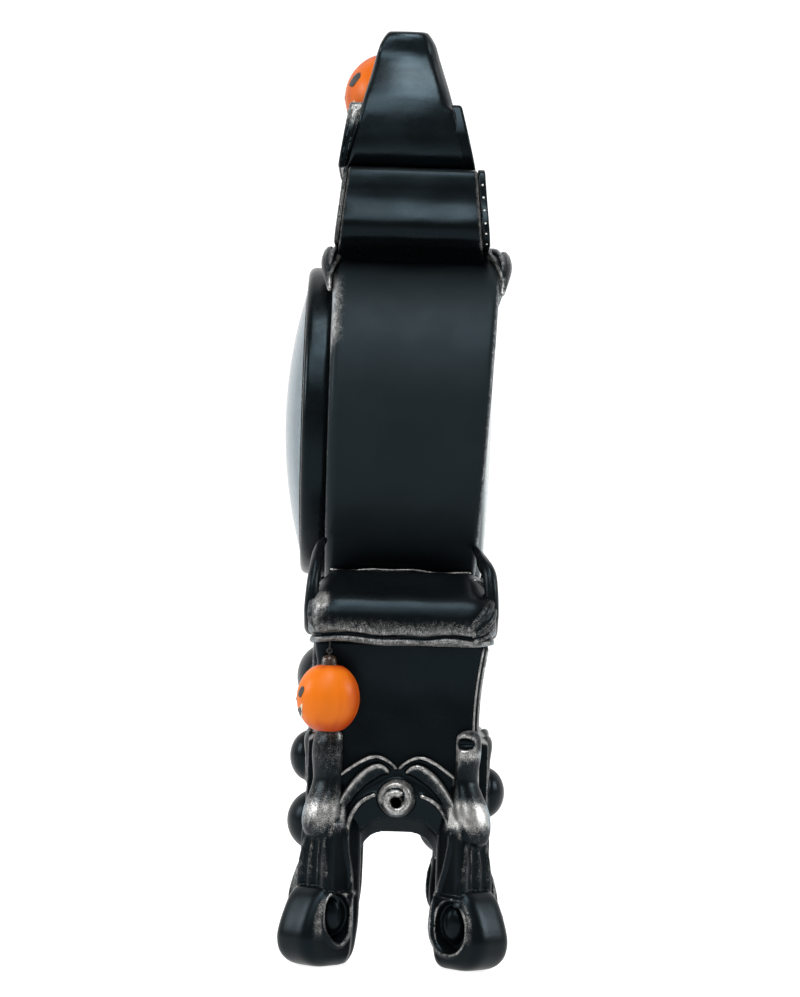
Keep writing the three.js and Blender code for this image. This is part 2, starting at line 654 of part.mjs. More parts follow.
function drum() {
  const edge = DRUM_EDGE;
  const profile = [
    [DRUM_BORE, -DRUM_DEPTH], [DRUM_RADIUS - edge, -DRUM_DEPTH],
    [DRUM_RADIUS - 0.3 * edge, -DRUM_DEPTH + 0.3 * edge], [DRUM_RADIUS, -DRUM_DEPTH + edge],
    [DRUM_RADIUS, DRUM_DEPTH - 0.6 * edge],
    [DRUM_RADIUS - 0.2 * edge, DRUM_DEPTH - 0.15 * edge], [DRUM_RADIUS - 0.6 * edge, DRUM_DEPTH],
    [COVER_RADIUS + SEAT_GAP, DRUM_DEPTH], [COVER_RADIUS + SEAT_GAP, SEAT_Y], [DRUM_BORE, SEAT_Y],
  ];
  const geometry = turned(profile, DRUM_SIDES);
  const places = geometry.getAttribute("position");
  for (let i = 0; i < places.count; i += 1) {
    const y = places.getY(i);
    if (y > SEAT_Y + 0.1) {
      places.setY(i, y + places.getZ(i) * DRUM_LEAN);
    }
  }
  return geometry.translate(0, 0, DRUM_Z);
}

add("drum", drum(), resin);

// Drum leaves: a twisted leaf on each upper quarter of the drum's front and back rims.
function drumLeaf(front) {
  const ring = (BEZEL_RADIUS + DRUM_RADIUS) / 2 + 2 * FIT_GAP;
  const thick = 0.53 * LEAF_WIRE;
  const points = [];
  for (let i = 0; i <= 6; i += 1) {
    const angle = THREE.MathUtils.degToRad(40 + 6 * i);
    const rise = ring * Math.sin(angle);
    const back = DRUM_DEPTH + rise * DRUM_LEAN;
    const y = front ? -DRUM_DEPTH - thick - FIT_GAP : back + thick + FIT_GAP;
    points.push([ring * Math.cos(angle), y, DRUM_Z + rise]);
  }
  const radii = [0.2, 0.81, 1, 0.75, 0.94, 0.81, 0.25].map((share) => share * LEAF_WIRE);
  return strand(points, radii, [0, 1, 0], { sides: 5, steps: 10, flat: 0.5 });
}

addPair("leaf_front", drumLeaf(true), resin);
addPair("leaf_back", drumLeaf(false), resin);

// Upper band: a bulged block over a neck that saddles the drum, with a plate on its front and back.
function bandOutline(grow) {
  const half = [
    [0, 1], [0.75, 1], [0.82, 0.83], [0.95, 0.67], [1, 0.45], [0.95, 0.22], [0.78, 0], [0.63, -0.1],
    [0.61, -0.6], [0, -0.6],
  ];
  const shaped = half.map(([across, up]) => {
    const x = across === 0 ? 0 : across * BAND_HALF_WIDTH + grow;
    return [x, BAND_Z + up * BAND_HEIGHT];
  });
  return mirrored(shaped);
}

const bandFront = (z) => -BAND_FRONT + BAND_TAPER * (z - BAND_Z);
const bandBack = (z) => BAND_BACK - BAND_TAPER * (z - BAND_Z);
const band = tapered(bandOutline(0), bandFront, bandBack);
add("band", cut(band, drumRoom(SEAT_GAP)), resin);

function bandPlate(y) {
  const inner = (z) => y(z) + Math.sign(y(z)) * SEAT_GAP;
  const outer = (z) => y(z) + Math.sign(y(z)) * (SEAT_GAP + PLATE_THICKNESS);
  const front = y(BAND_Z) < 0;
  const plate = tapered(bandOutline(1.2), front ? outer : inner, front ? inner : outer);
  const floor = new THREE.BoxGeometry(4 * BAND_HALF_WIDTH, 8 * DRUM_DEPTH, BAND_HEIGHT);
  return cut(plate, drumRoom(SEAT_GAP), floor.translate(0, 0, BAND_Z - 0.62 * BAND_HEIGHT));
}

// A row of beads along each end of the back plate.
function beads() {
  const edge = bandOutline(1.2).slice(1, 7).map(([x, z]) => new THREE.Vector3(x, 0, z));
  const curve = new THREE.CatmullRomCurve3(edge);
  const row = [];
  for (let i = 0; i < BEAD_COUNT; i += 1) {
    const at = curve.getPointAt((i + 0.5) / BEAD_COUNT);
    const y = bandBack(at.z) + SEAT_GAP + PLATE_THICKNESS / 2;
    for (const side of [-1, 1]) {
      row.push(new THREE.OctahedronGeometry(BEAD_RADIUS, 0).translate(side * (at.x + 0.1), y, at.z));
    }
  }
  return row;
}

add("band_front_plate", bandPlate(bandFront), resin);
add("band_back_plate", join(bandPlate(bandBack), ...beads()), resin);

// Crest: two horns that hold a lantern between them, with a low plate on the front and back.
function crestOutline() {
  const half = [
    [0, 0.84], [0.27, 0.88], [0.39, 1], [0.61, 1], [0.66, 0.95], [0.68, 0.84], [0.72, 0.68], [0.82, 0.53],
    [0.95, 0.39], [1, 0.24], [0.97, 0.11], [0.87, 0], [0, 0],
  ];
  return half.map(([across, up]) => [across * CREST_HALF_WIDTH, up * CREST_HEIGHT]);
}

function lantern(radius, halfHeight, slices, stacks) {
  const rings = [];
  for (let i = 0; i <= stacks; i += 1) {
    const angle = Math.PI * (0.02 + (0.96 * i) / stacks);
    const dip = 1 - 0.12 * Math.exp(-((Math.sin(angle) / 0.35) ** 2));
    const ring = [];
    for (let j = 0; j < slices; j += 1) {
      const turn = (2 * Math.PI * j) / slices;
      const lobe = 1 - 0.018 * (1 - Math.cos(LANTERN_LOBES * turn));
      const r = radius * Math.sin(angle) * lobe;
      ring.push([r * Math.cos(turn), r * Math.sin(turn), -halfHeight * Math.cos(angle) * dip]);
    }
    rings.push(ring);
  }
  return skin(rings);
}

const LANTERN_CENTRE_Z = CREST_Z + CREST_LANTERN_LIFT;
const crestFront = (z) => -CREST_FRONT + CREST_FRONT_SLOPE * (z - CREST_Z);
const crestBack = (z) => CREST_BACK - CREST_BACK_SLOPE * (z - CREST_Z);

function crestPocket() {
  const radius = CREST_LANTERN_RADIUS + 2 * SEAT_GAP;
  const depth = 3 * CREST_FRONT;
  const pocket = new THREE.CylinderGeometry(radius, radius, depth, 28);
  return pocket.translate(0, CREST_POCKET_BACK - depth / 2, LANTERN_CENTRE_Z);
}

const crestPoints = mirrored(crestOutline().map(([x, up]) => [x, CREST_Z + up]));
add("crest", cut(tapered(crestPoints, crestFront, crestBack), crestPocket()), resin);

function crestPlate(y, slope) {
  const front = y(CREST_Z) < 0;
  const sign = front ? -1 : 1;
  const inner = (z) => y(z) + sign * SEAT_GAP;
  const outer = (z) => y(z) + sign * (SEAT_GAP + CREST_PLATE_WALL + slope * (z - CREST_Z));
  const low = crestOutline().filter(([, up]) => up < CREST_PLATE_HEIGHT);
  const half = [[0, CREST_PLATE_HEIGHT], [0.86 * CREST_HALF_WIDTH, CREST_PLATE_HEIGHT], ...low];
  const points = mirrored(half.map(([x, up]) => [x, CREST_Z + up]));
  return tapered(points, front ? outer : inner, front ? inner : outer);
}

add("crest_front_plate", cut(crestPlate(crestFront, 0.09), crestPocket()), resin);
add("crest_back_plate", crestPlate(crestBack, 0.02), resin);

function stem(z) {
  const profile = [
    [0, z - STEM_HEIGHT], [STEM_RADIUS, z - STEM_HEIGHT], [STEM_RADIUS, z],
    [0.8 * STEM_RADIUS, z + STEM_HEIGHT], [0, z + STEM_HEIGHT],
  ];
  return turned(profile, 8).rotateX(Math.PI / 2);
}

function crestLantern() {
  const halfHeight = 0.92 * CREST_LANTERN_RADIUS;
  const whole = join(lantern(CREST_LANTERN_RADIUS, halfHeight, 16, 7), stem(0.9 * halfHeight));
  whole.translate(0, -CREST_LANTERN_FORWARD, LANTERN_CENTRE_Z);
  const room = 4 * CREST_LANTERN_RADIUS;
  const behind = new THREE.BoxGeometry(room, room, room);
  return cut(whole, behind.translate(0, CREST_POCKET_BACK - SEAT_GAP + room / 2, LANTERN_CENTRE_Z));
}

add("crest_lantern", crestLantern(), orange);

// Hanging lanterns: each swings on a wire loop under the bolster.
const LANTERN_TOP = LANTERN_Z + 0.89 * LANTERN_HALF_HEIGHT;

function hangingLantern() {
  const body = lantern(LANTERN_RADIUS, LANTERN_HALF_HEIGHT, 16, 6);
  return join(body, stem(0.89 * LANTERN_HALF_HEIGHT)).translate(LANTERN_X, -LANTERN_FORWARD, LANTERN_Z);
}

function hanger() {
  const loopZ = HANG_Z + 2.15 * WIRE_RADIUS - LOOP_RADIUS;
  const loop = new THREE.TorusGeometry(LOOP_RADIUS, WIRE_RADIUS, 4, 10).rotateY(Math.PI / 2);
  const low = LANTERN_TOP + STEM_HEIGHT + FIT_GAP;
  const high = loopZ - LOOP_RADIUS + WIRE_RADIUS;
  const shank = new THREE.CylinderGeometry(WIRE_RADIUS, WIRE_RADIUS, high - low, 6).rotateX(Math.PI / 2);
  const whole = join(loop.translate(0, 0, loopZ), shank.translate(0, 0, (high + low) / 2));
  return whole.translate(LANTERN_X, -LANTERN_FORWARD, 0);
}

addPair("lantern", hangingLantern(), orange);
addPair("lantern_hanger", hanger(), steel);

// Clock insert, drawn about the drum's axis.
const insert = new THREE.Group();
insert.position.z = DRUM_Z;
clock.add(insert);

const bezelProfile = [
  [BEZEL_RADIUS, -DRUM_DEPTH], [BEZEL_RADIUS, BEZEL_FRONT + 2.5], [BEZEL_RADIUS - 0.7, BEZEL_FRONT + 0.7],
  [BEZEL_RADIUS - 2.5, BEZEL_FRONT],
  [LENS_RADIUS + SEAT_GAP, BEZEL_FRONT], [LENS_RADIUS + SEAT_GAP, LENS_SEAT],
  [LENS_RADIUS - 1.8, LENS_SEAT], [LENS_RADIUS - 1.8, DIAL_FRONT - FIT_GAP],
  [CUP_RADIUS + SEAT_GAP, DIAL_FRONT - FIT_GAP], [CUP_RADIUS + SEAT_GAP, -DRUM_DEPTH],
];
add("bezel", turned(bezelProfile, DRUM_SIDES), blackMetal, insert);

// A shallow dome between two radii of curvature, with its rim at rimY and its top at -Y.
function lens() {
  const profile = [];
  const curve = (LENS_RADIUS ** 2 + LENS_CROWN ** 2) / (2 * LENS_CROWN);
  const drop = (r, sphere) => sphere - Math.sqrt(sphere ** 2 - r ** 2);
  const top = BEZEL_FRONT - LENS_CROWN;
  for (const share of [0, 0.33, 0.67, 1]) {
    profile.push([share * LENS_RADIUS, top + drop(share * LENS_RADIUS, curve)]);
  }
  profile.push([LENS_RADIUS, LENS_SEAT - FIT_GAP]);
  const inner = LENS_RADIUS - 2;
  profile.push([inner, LENS_SEAT - FIT_GAP]);
  for (const share of [0.98, 0.5, 0]) {
    profile.push([share * inner, top + LENS_WALL + drop(share * inner, curve - LENS_WALL)]);
  }
  return turned(profile, 24);
}

add("lens", lens(), glass, insert);

function dial() {
  const face = new THREE.Shape().absarc(0, 0, CUP_RADIUS, 0, 2 * Math.PI);
  face.holes.push(new THREE.Path().absarc(0, 0, BUSH_RADIUS + 2 * FIT_GAP, 0, 2 * Math.PI));
  const flat = { depth: DIAL_WALL, bevelEnabled: false, curveSegments: 12 };
  const disc = new THREE.ExtrudeGeometry(face, flat);
  return facingFront(disc, DIAL_FRONT + DIAL_WALL);
}

add("dial", dial(), paper, insert);

const cupInner = CUP_RADIUS - CUP_WALL;
const cupBack = CUP_FRONT + CUP_LENGTH;
const cupProfile = [
  [CUP_RADIUS, CUP_FRONT], [CUP_RADIUS, cupBack],
  [cupInner - CUP_WALL, cupBack], [cupInner - CUP_WALL, cupBack - CUP_WALL],
  [cupInner, cupBack - CUP_WALL], [cupInner, CUP_FRONT],
];
add("insert_cup", turned(cupProfile, 20), casePlastic, insert);
const gripFront = CUP_FRONT + GRIP_SETBACK;
const gripBack = gripFront + GRIP_LENGTH;
const gripProfile = [
  [CUP_RADIUS + FIT_GAP, gripFront], [DRUM_BORE - SEAT_GAP, gripFront + GRIP_CHAMFER],
  [DRUM_BORE - SEAT_GAP, gripBack - GRIP_CHAMFER], [CUP_RADIUS + FIT_GAP, gripBack],
];
add("friction_ring", turned(gripProfile, 20), rubber, insert);

// Hands, stacked in front of the dial on the three coaxial arbors.
const HOUR_Y = CASE_FRONT - BUSH_RISE - 0.3;
const MINUTE_Y = HOUR_Y - HAND_PITCH;
const SECOND_Y = MINUTE_Y - HAND_PITCH;

function hand(length, hub, hole, wide, tail) {
  const half = [
    [0, length], [0.25 * wide, 0.86 * length], [wide, 0.7 * length], [0.35 * wide, 0.55 * length],
    [0.45 * wide, hub], [0.45 * wide, -tail], [0, -tail],
  ];
  const blade = slab(outline(mirrored(half)), HAND_WALL);
  const disc = new THREE.CylinderGeometry(hub, hub, HAND_WALL, 12).rotateX(Math.PI / 2);
  const drill = new THREE.CylinderGeometry(hole, hole, 4 * HAND_WALL, 10).rotateX(Math.PI / 2);
  return cut(join(blade, disc.translate(0, 0, HAND_WALL / 2)), drill);
}

function addHand(name, geometry, y, angle) {
  const mesh = add(name, facingFront(geometry, 0), blackMetal, insert);
  mesh.position.y = y;
  mesh.rotation.y = THREE.MathUtils.degToRad(angle);
}

addHand("hour_hand", hand(HOUR_LENGTH, 4.4, HOUR_TUBE + 2 * FIT_GAP, 3.4, 3), HOUR_Y, HOUR_ANGLE);
addHand("minute_hand", hand(MINUTE_LENGTH, 3.4, MINUTE_TUBE + 2 * FIT_GAP, 2.8, 3), MINUTE_Y, MINUTE_ANGLE);
addHand("second_hand", hand(SECOND_LENGTH, 1.9, SECOND_ROD + FIT_GAP, 0.8, 9), SECOND_Y, 0);

// Movement: drawn flat, with its depth running backwards from the case's front.
const movement = new THREE.Group();
movement.position.set(0, CASE_FRONT, DRUM_Z);
movement.rotation.x = -Math.PI / 2;
clock.add(movement);

const polar = (distance, degrees) => {
  const angle = THREE.MathUtils.degToRad(degrees);
  return [distance * Math.cos(angle), distance * Math.sin(angle)];
};
const motionAt = polar(MOTION_DISTANCE, 180);
const thirdAt = polar(THIRD_DISTANCE, -20);
const stepAt = polar(STEP_DISTANCE, -110);
const rotorOffset = polar(ROTOR_DISTANCE, -150);
const rotorAt = [stepAt[0] + rotorOffset[0], stepAt[1] + rotorOffset[1]];

// A round bar along the depth between two layers.
function rod(radius, from, to, segments = 12, at = [0, 0]) {
  const bar = new THREE.CylinderGeometry(radius, radius, to - from, segments).rotateX(Math.PI / 2);
  return bar.translate(at[0], at[1], (from + to) / 2);
}

function block(x0, x1, y0, y1, from, to) {
  const geometry = new THREE.BoxGeometry(x1 - x0, y1 - y0, to - from);
  return geometry.translate((x0 + x1) / 2, (y0 + y1) / 2, (from + to) / 2);
}

const HALF_CASE = CASE_SIDE / 2;
const ROOM = HALF_CASE - CASE_WALL;
const COVER_FROM = CASE_DEPTH - CASE_WALL;
const pivots = [motionAt, thirdAt, stepAt, rotorAt];
const boardPlace = [7, ROOM - 1, -ROOM + 1, -12.5];

function tray() {
  const shell = block(-HALF_CASE, HALF_CASE, -HALF_CASE, HALF_CASE, 0, COVER_FROM);
  const wheelRoom = block(-ROOM, ROOM, -ROOM, BAY_TOP, CASE_WALL, CASE_DEPTH);
  const bay = block(-ROOM, ROOM, BAY_TOP + CASE_WALL, ROOM, 0.6, CASE_DEPTH);
  const bush = rod(BUSH_RADIUS, -BUSH_RISE, CASE_WALL, 16);
  const bore = rod(HOUR_TUBE + 2 * FIT_GAP, -2 * BUSH_RISE, 2 * CASE_WALL, 16);
  const holes = pivots.map((at) => rod(PIVOT_RADIUS + FIT_GAP, -1, 2 * CASE_WALL, 8, at));
  const posts = [0.2, 0.8].map((share) => {
    const x = THREE.MathUtils.lerp(boardPlace[0], boardPlace[1], share);
    const y = THREE.MathUtils.lerp(boardPlace[2], boardPlace[3], 0.3);
    return rod(1.4, 1, SECOND_LAYER - FIT_GAP, 8, [x, y]);
  });
  const hollowed = cut(shell, wheelRoom, bay);
  return cut(join(hollowed, bush, ...posts), bore, ...holes);
}

add("movement_tray", tray(), casePlastic, movement);

function trayCover() {
  const top = BAY_TOP + CASE_WALL;
  const plate = block(-HALF_CASE, HALF_CASE, -HALF_CASE, top, COVER_FROM + FIT_GAP / 2, CASE_DEPTH);
  const past = CASE_DEPTH + CASE_WALL;
  const hole = (radius, at) => rod(radius + FIT_GAP, COVER_FROM - CASE_WALL, past, 8, at);
  const holes = [thirdAt, stepAt, rotorAt].map((at) => hole(PIVOT_RADIUS, at));
  return cut(plate, ...holes, hole(SECOND_ROD, [0, 0]), hole(MOTION_ROD, motionAt));
}

add("movement_cover", trayCover(), casePlastic, movement);

const nut = new THREE.CylinderGeometry(5.8, 5.8, 1.1, 6).rotateX(Math.PI / 2);
const nutZ = DIAL_FRONT - CASE_FRONT - FIT_GAP - 0.55;
const nutBore = rod(BUSH_RADIUS + FIT_GAP, nutZ - 3, nutZ + 3, 20);
add("mounting_nut", cut(nut.translate(0, 0, nutZ), nutBore), brass, movement);

// A wheel or pinion: straight-sided teeth, thinner for a wheel's many teeth than for a pinion's leaves.
function teeth(count, module, from, to) {
  const leaf = count < 12;
  const pitch = (2 * Math.PI) / count;
  const radius = (count * module) / 2;
  const tip = radius + (leaf ? 0.55 : 0.9) * module;
  const low = radius - (leaf ? 1.3 : 1.2) * module;
  const wideLow = pitch * (leaf ? 0.19 : 0.33);
  const wideTip = pitch * 0.12;
  const points = [];
  for (let i = 0; i < count; i += 1) {
    const crown = leaf ? [[tip, -wideTip], [tip, wideTip]] : [[tip, 0]];
    for (const [r, turn] of [[low, -wideLow], ...crown, [low, wideLow]]) {
      points.push([r * Math.cos(i * pitch + turn), r * Math.sin(i * pitch + turn)]);
    }
  }
  return slab(outline(points), to - from).translate(0, 0, from);
}

// The turn that puts the second wheel in mesh with the first, whose own turn is known.
function meshTurn(turn, count, otherCount, degrees) {
  const line = THREE.MathUtils.degToRad(degrees);
  const share = (turn - line) / ((2 * Math.PI) / count);
  const pitch = (2 * Math.PI) / otherCount;
  return line + Math.PI - share * pitch + pitch / 2;
}

function spoke(geometry, turn) {
  return geometry.rotateZ(turn);
}

function addWheel(name, geometry, look, at = [0, 0]) {
  add(name, geometry, look, movement).position.set(at[0], at[1], 0);
}

// Motion work: cannon pinion, motion wheel and hour wheel.
const motionTurn = meshTurn(0, CANNON_TEETH, MOTION_TEETH, 180);
const hourTurn = meshTurn(0, MOTION_PINION_TEETH, HOUR_TEETH, 0);
const HAND_HOUR = HOUR_Y - HAND_WALL - CASE_FRONT;
const HAND_MINUTE = MINUTE_Y - HAND_WALL - CASE_FRONT;
const HAND_SECOND = SECOND_Y - HAND_WALL - CASE_FRONT;
const MESH_END = (layer) => layer + WHEEL_WALL;

function hourWheel() {
  const wheel = spoke(teeth(HOUR_TEETH, HOUR_MODULE, HOUR_LAYER, MESH_END(HOUR_LAYER)), hourTurn);
  const tube = rod(HOUR_TUBE, HAND_HOUR, MESH_END(HOUR_LAYER), 16);
  return cut(join(wheel, tube), rod(MINUTE_TUBE + 2 * FIT_GAP, -30, 30, 16));
}

addWheel("hour_wheel", hourWheel(), wheelPlastic);

// Centre wheel, cannon pinion and minute tube turn as one.
const thirdPinionTurn = meshTurn(0, CENTRE_TEETH, THIRD_PINION_TEETH, -20);

function minuteArbor() {
  const cannon = teeth(CANNON_TEETH, MOTION_MODULE, MOTION_LAYER - 0.3, MESH_END(MOTION_LAYER) + 0.3);
  const centre = teeth(CENTRE_TEETH, THIRD_MODULE, CENTRE_LAYER, MESH_END(CENTRE_LAYER));
  const tube = rod(MINUTE_TUBE, HAND_MINUTE, MESH_END(CENTRE_LAYER), 14);
  return cut(join(cannon, centre, tube), rod(SECOND_ROD + 2 * FIT_GAP, -30, 30, 12));
}

addWheel("minute_arbor", minuteArbor(), wheelPlastic);

function motionWheel() {
  const wheel = spoke(teeth(MOTION_TEETH, MOTION_MODULE, MOTION_LAYER, MESH_END(MOTION_LAYER)), motionTurn);
  const pinion = teeth(MOTION_PINION_TEETH, HOUR_MODULE, HOUR_LAYER - 0.2, MOTION_LAYER + 0.2);
  const pivot = rod(PIVOT_RADIUS, 0.3, HOUR_LAYER, 8);
  const stub = rod(MOTION_ROD, HOUR_LAYER, CASE_DEPTH + KNOB_HEIGHT - 1, 10);
  return join(wheel, pinion, pivot, stub);
}

addWheel("motion_wheel", motionWheel(), wheelPlastic, motionAt);

function settingKnob() {
  const low = CASE_DEPTH + 0.3;
  const grip = teeth(12, (2 * KNOB_RADIUS) / 13.8, low, low + KNOB_HEIGHT);
  return cut(grip, rod(MOTION_ROD + FIT_GAP, 0, low + KNOB_HEIGHT - 1, 12));
}

addWheel("setting_knob", settingKnob(), casePlastic, motionAt);

// Going train: rotor, step wheel, seconds wheel and third wheel.
const thirdTurn = 0;
const secondPinionTurn = meshTurn(thirdTurn, THIRD_TEETH, SECOND_PINION_TEETH, 160);
const stepPinionTurn = meshTurn(0, SECOND_TEETH, STEP_PINION_TEETH, -110);
const rotorPinionTurn = meshTurn(0, STEP_TEETH, ROTOR_PINION_TEETH, -150);

function secondWheel() {
  const wheel = teeth(SECOND_TEETH, SECOND_MODULE, SECOND_LAYER, MESH_END(SECOND_LAYER));
  const pinion = teeth(SECOND_PINION_TEETH, FOURTH_MODULE, THIRD_LAYER - 0.3, SECOND_LAYER + 0.2);
  const shaft = rod(SECOND_ROD, HAND_SECOND, CASE_DEPTH - 0.4, 10);
  return join(wheel, spoke(pinion, secondPinionTurn), shaft);
}

addWheel("second_wheel", secondWheel(), wheelPlastic);

function thirdWheel() {
  const wheel = spoke(teeth(THIRD_TEETH, FOURTH_MODULE, THIRD_LAYER, MESH_END(THIRD_LAYER)), thirdTurn);
  const pinion = teeth(THIRD_PINION_TEETH, THIRD_MODULE, CENTRE_LAYER - 0.3, THIRD_LAYER + 0.2);
  const pivot = rod(PIVOT_RADIUS, 0.3, CASE_DEPTH - 0.4, 8);
  return join(wheel, spoke(pinion, thirdPinionTurn), pivot);
}

addWheel("third_wheel", thirdWheel(), wheelPlastic, thirdAt);

function stepWheel() {
  const wheel = teeth(STEP_TEETH, STEP_MODULE, STEP_LAYER, MESH_END(STEP_LAYER));
  const pinion = teeth(STEP_PINION_TEETH, SECOND_MODULE, SECOND_LAYER - 0.2, STEP_LAYER + 0.2);
  const pivot = rod(PIVOT_RADIUS, 0.3, CASE_DEPTH - 0.4, 8);
  return join(wheel, spoke(pinion, stepPinionTurn), pivot);
}

addWheel("step_wheel", stepWheel(), wheelPlastic, stepAt);

function rotor() {
  const magnet = rod(ROTOR_RADIUS, 4.4, 8.4, 16);
  const pinion = teeth(ROTOR_PINION_TEETH, STEP_MODULE, STEP_LAYER - 0.3, MESH_END(STEP_LAYER) + 0.2);
  const pivot = rod(PIVOT_RADIUS, 0.3, CASE_DEPTH - 0.4, 8);
  return join(magnet, spoke(pinion, rotorPinionTurn), pivot);
}

addWheel("rotor", rotor(), steel, rotorAt);

// Motor: a stator round the rotor, with a coil between its arms.
const STATOR_LEFT = -ROOM + 1.5;
const STATOR_RIGHT = stepAt[0] - 1.8;
const STATOR_TOP = -ROOM + 1;

function stator() {
  const bar = block(STATOR_LEFT, STATOR_RIGHT, rotorAt[1] - 4.6, rotorAt[1] + 3.8, 5.4, 6.6);
  const arms = [STATOR_LEFT, STATOR_RIGHT - 2.6].map((x) => {
    return block(x, x + 2.6, STATOR_TOP, rotorAt[1], 5.4, 6.6);
  });
  const feet = [STATOR_LEFT + 1.3, STATOR_RIGHT - 1.3].map((x) => {
    return rod(1, CASE_WALL + FIT_GAP / 2, 6, 8, [x, STATOR_TOP + 1.4]);
  });
  return cut(join(bar, ...arms, ...feet), rod(ROTOR_RADIUS + 0.5, 0, 12, 16, rotorAt));
}

add("stator", stator(), steel, movement);

const coilFrom = STATOR_LEFT + 2.6 + SEAT_GAP;
const coilTo = STATOR_RIGHT - 2.6 - SEAT_GAP;
const coilY = STATOR_TOP + COIL_RADIUS + 0.2;
const winding = new THREE.CylinderGeometry(COIL_RADIUS, COIL_RADIUS, coilTo - coilFrom, 16);
winding.rotateZ(Math.PI / 2);
add("coil", winding.translate((coilFrom + coilTo) / 2, coilY, 6), copper, movement);

function circuitBoard() {
  const [x0, x1, y0, y1] = boardPlace;
  const plate = block(x0, x1, y0, y1, SECOND_LAYER, SECOND_LAYER + 1);
  const crystal = new THREE.CylinderGeometry(1.2, 1.2, 8, 10).rotateZ(Math.PI / 2);
  const chip = block(x0 + 10, x0 + 15, y1 - 5, y1 - 1, SECOND_LAYER + 0.5, SECOND_LAYER + 2.4);
  return join(plate, crystal.translate(x0 + 5, y0 + 4, SECOND_LAYER + 1.9), chip);
}

add("circuit_board", circuitBoard(), board, movement);

// Battery, lying across the bottom of the case between its two contacts.
const bayMid = (BAY_TOP + CASE_WALL + ROOM) / 2;
const half = BATTERY_LENGTH / 2;
const batteryProfile = [
  [0, -half], [BATTERY_RADIUS, -half], [BATTERY_RADIUS, half - 2],
  [2.6, half - 1.4], [2.6, half], [0, half],
];
const battery = turned(batteryProfile, 14).rotateZ(-Math.PI / 2);
add("battery", battery.translate(0, bayMid, 0.6 + FIT_GAP + BATTERY_RADIUS), batteryWrap, movement);

function contact(side) {
  const strip = [
    [ROOM - FIT_GAP, -4], [ROOM - FIT_GAP, 4], [ROOM - FIT_GAP - 0.4, 4],
    [half + FIT_GAP, 1.2], [half + FIT_GAP, -1.2],
    [ROOM - FIT_GAP - 0.4, -4],
  ];
  const points = strip.map(([x, y]) => [side * x, bayMid + y]);
  return slab(outline(points), 7).translate(0, 0, 4);
}

add("contact_positive", contact(1), brass, movement);
add("contact_negative", contact(-1), steel, movement);

// Rear cover: a clear, slightly crowned cap that pulls off the drum's back.
function rearCover() {
  const rim = DRUM_DEPTH - 0.2;
  const start = SEAT_Y + SEAT_GAP;
  const inner = COVER_RADIUS - COVER_WALL;
  const profile = [
    [COVER_RADIUS, start], [COVER_RADIUS, rim - 0.8], [COVER_RADIUS - 0.8, rim],
    [0.55 * COVER_RADIUS, rim + 0.7 * COVER_CROWN],
    [0, rim + COVER_CROWN], [0, rim + COVER_CROWN - COVER_WALL],
    [0.55 * inner, rim + 0.7 * COVER_CROWN - COVER_WALL], [inner, rim - COVER_WALL], [inner, start],
  ];
  return turned(profile, 24).translate(0, 0, DRUM_Z);
}

add("rear_cover", rearCover(), clearPlastic);

// The part's origin is under the middle of its bounding box.
root.updateMatrixWorld(true);
const bounds = new THREE.Box3().setFromObject(clock);
clock.position.set(-(bounds.min.x + bounds.max.x) / 2, -(bounds.min.y + bounds.max.y) / 2, -bounds.min.z);

export default root;
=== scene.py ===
"""Looks of the table clock: fine castings, rubbed silver, painted lanterns, glass, a dial, light and camera.

Shapes are drawn in millimetres about the middle of the lower body, and land in the frame in metres.
"""

import math

import bpy
import numpy as np
from mathutils import Euler, Matrix, Vector


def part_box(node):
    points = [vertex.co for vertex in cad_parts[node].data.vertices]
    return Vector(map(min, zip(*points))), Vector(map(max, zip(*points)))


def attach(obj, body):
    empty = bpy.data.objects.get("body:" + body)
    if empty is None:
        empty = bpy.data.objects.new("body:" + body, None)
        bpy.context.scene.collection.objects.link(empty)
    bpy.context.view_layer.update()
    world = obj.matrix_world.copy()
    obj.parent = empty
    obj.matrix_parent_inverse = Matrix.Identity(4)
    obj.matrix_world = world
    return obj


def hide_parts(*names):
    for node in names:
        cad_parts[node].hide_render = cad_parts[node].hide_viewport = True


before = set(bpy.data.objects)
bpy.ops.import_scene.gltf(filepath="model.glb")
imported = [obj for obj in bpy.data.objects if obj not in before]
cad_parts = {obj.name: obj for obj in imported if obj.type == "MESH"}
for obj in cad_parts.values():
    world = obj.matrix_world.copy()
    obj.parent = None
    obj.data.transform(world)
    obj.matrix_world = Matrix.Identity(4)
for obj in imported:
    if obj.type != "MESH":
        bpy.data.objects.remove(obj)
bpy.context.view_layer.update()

MM = 0.001
BODY_LOW, BODY_HIGH = (np.array(corner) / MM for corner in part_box("lower_body"))
DRUM_LOW, DRUM_HIGH = (np.array(corner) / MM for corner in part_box("drum"))
MID_Y = (BODY_LOW[1] + BODY_HIGH[1]) / 2

# Sizes of the castings, as the frame has them
BODY_BOTTOM = BODY_LOW[2]
BODY_TOP = BODY_HIGH[2]
BODY_HALF_X = 58.0
BODY_HALF_Y = 25.0
LEG_X = 59.6
LEG_Y = 20.6
SIDE_FACE = 61.5
APRON_FACE = 28.4
DRUM_RADIUS = (DRUM_HIGH[0] - DRUM_LOW[0]) / 2
DRUM_Z = DRUM_HIGH[2] - DRUM_RADIUS
DRUM_DEPTH = MID_Y - DRUM_LOW[1]
DRUM_LEAN = math.tan(math.radians(3))

OUT = (1, 0, 0)
FRONT = (0, -1, 0)
BACK = (0, 1, 0)
UP = (0, 0, 1)
ROOT_HALF = math.sqrt(0.5)
HANDS = (("right", 1), ("left", -1))


# Curves and skins

def circle(count):
    """Even angles round a full turn."""
    return np.linspace(0, 2 * math.pi, count, endpoint=False)


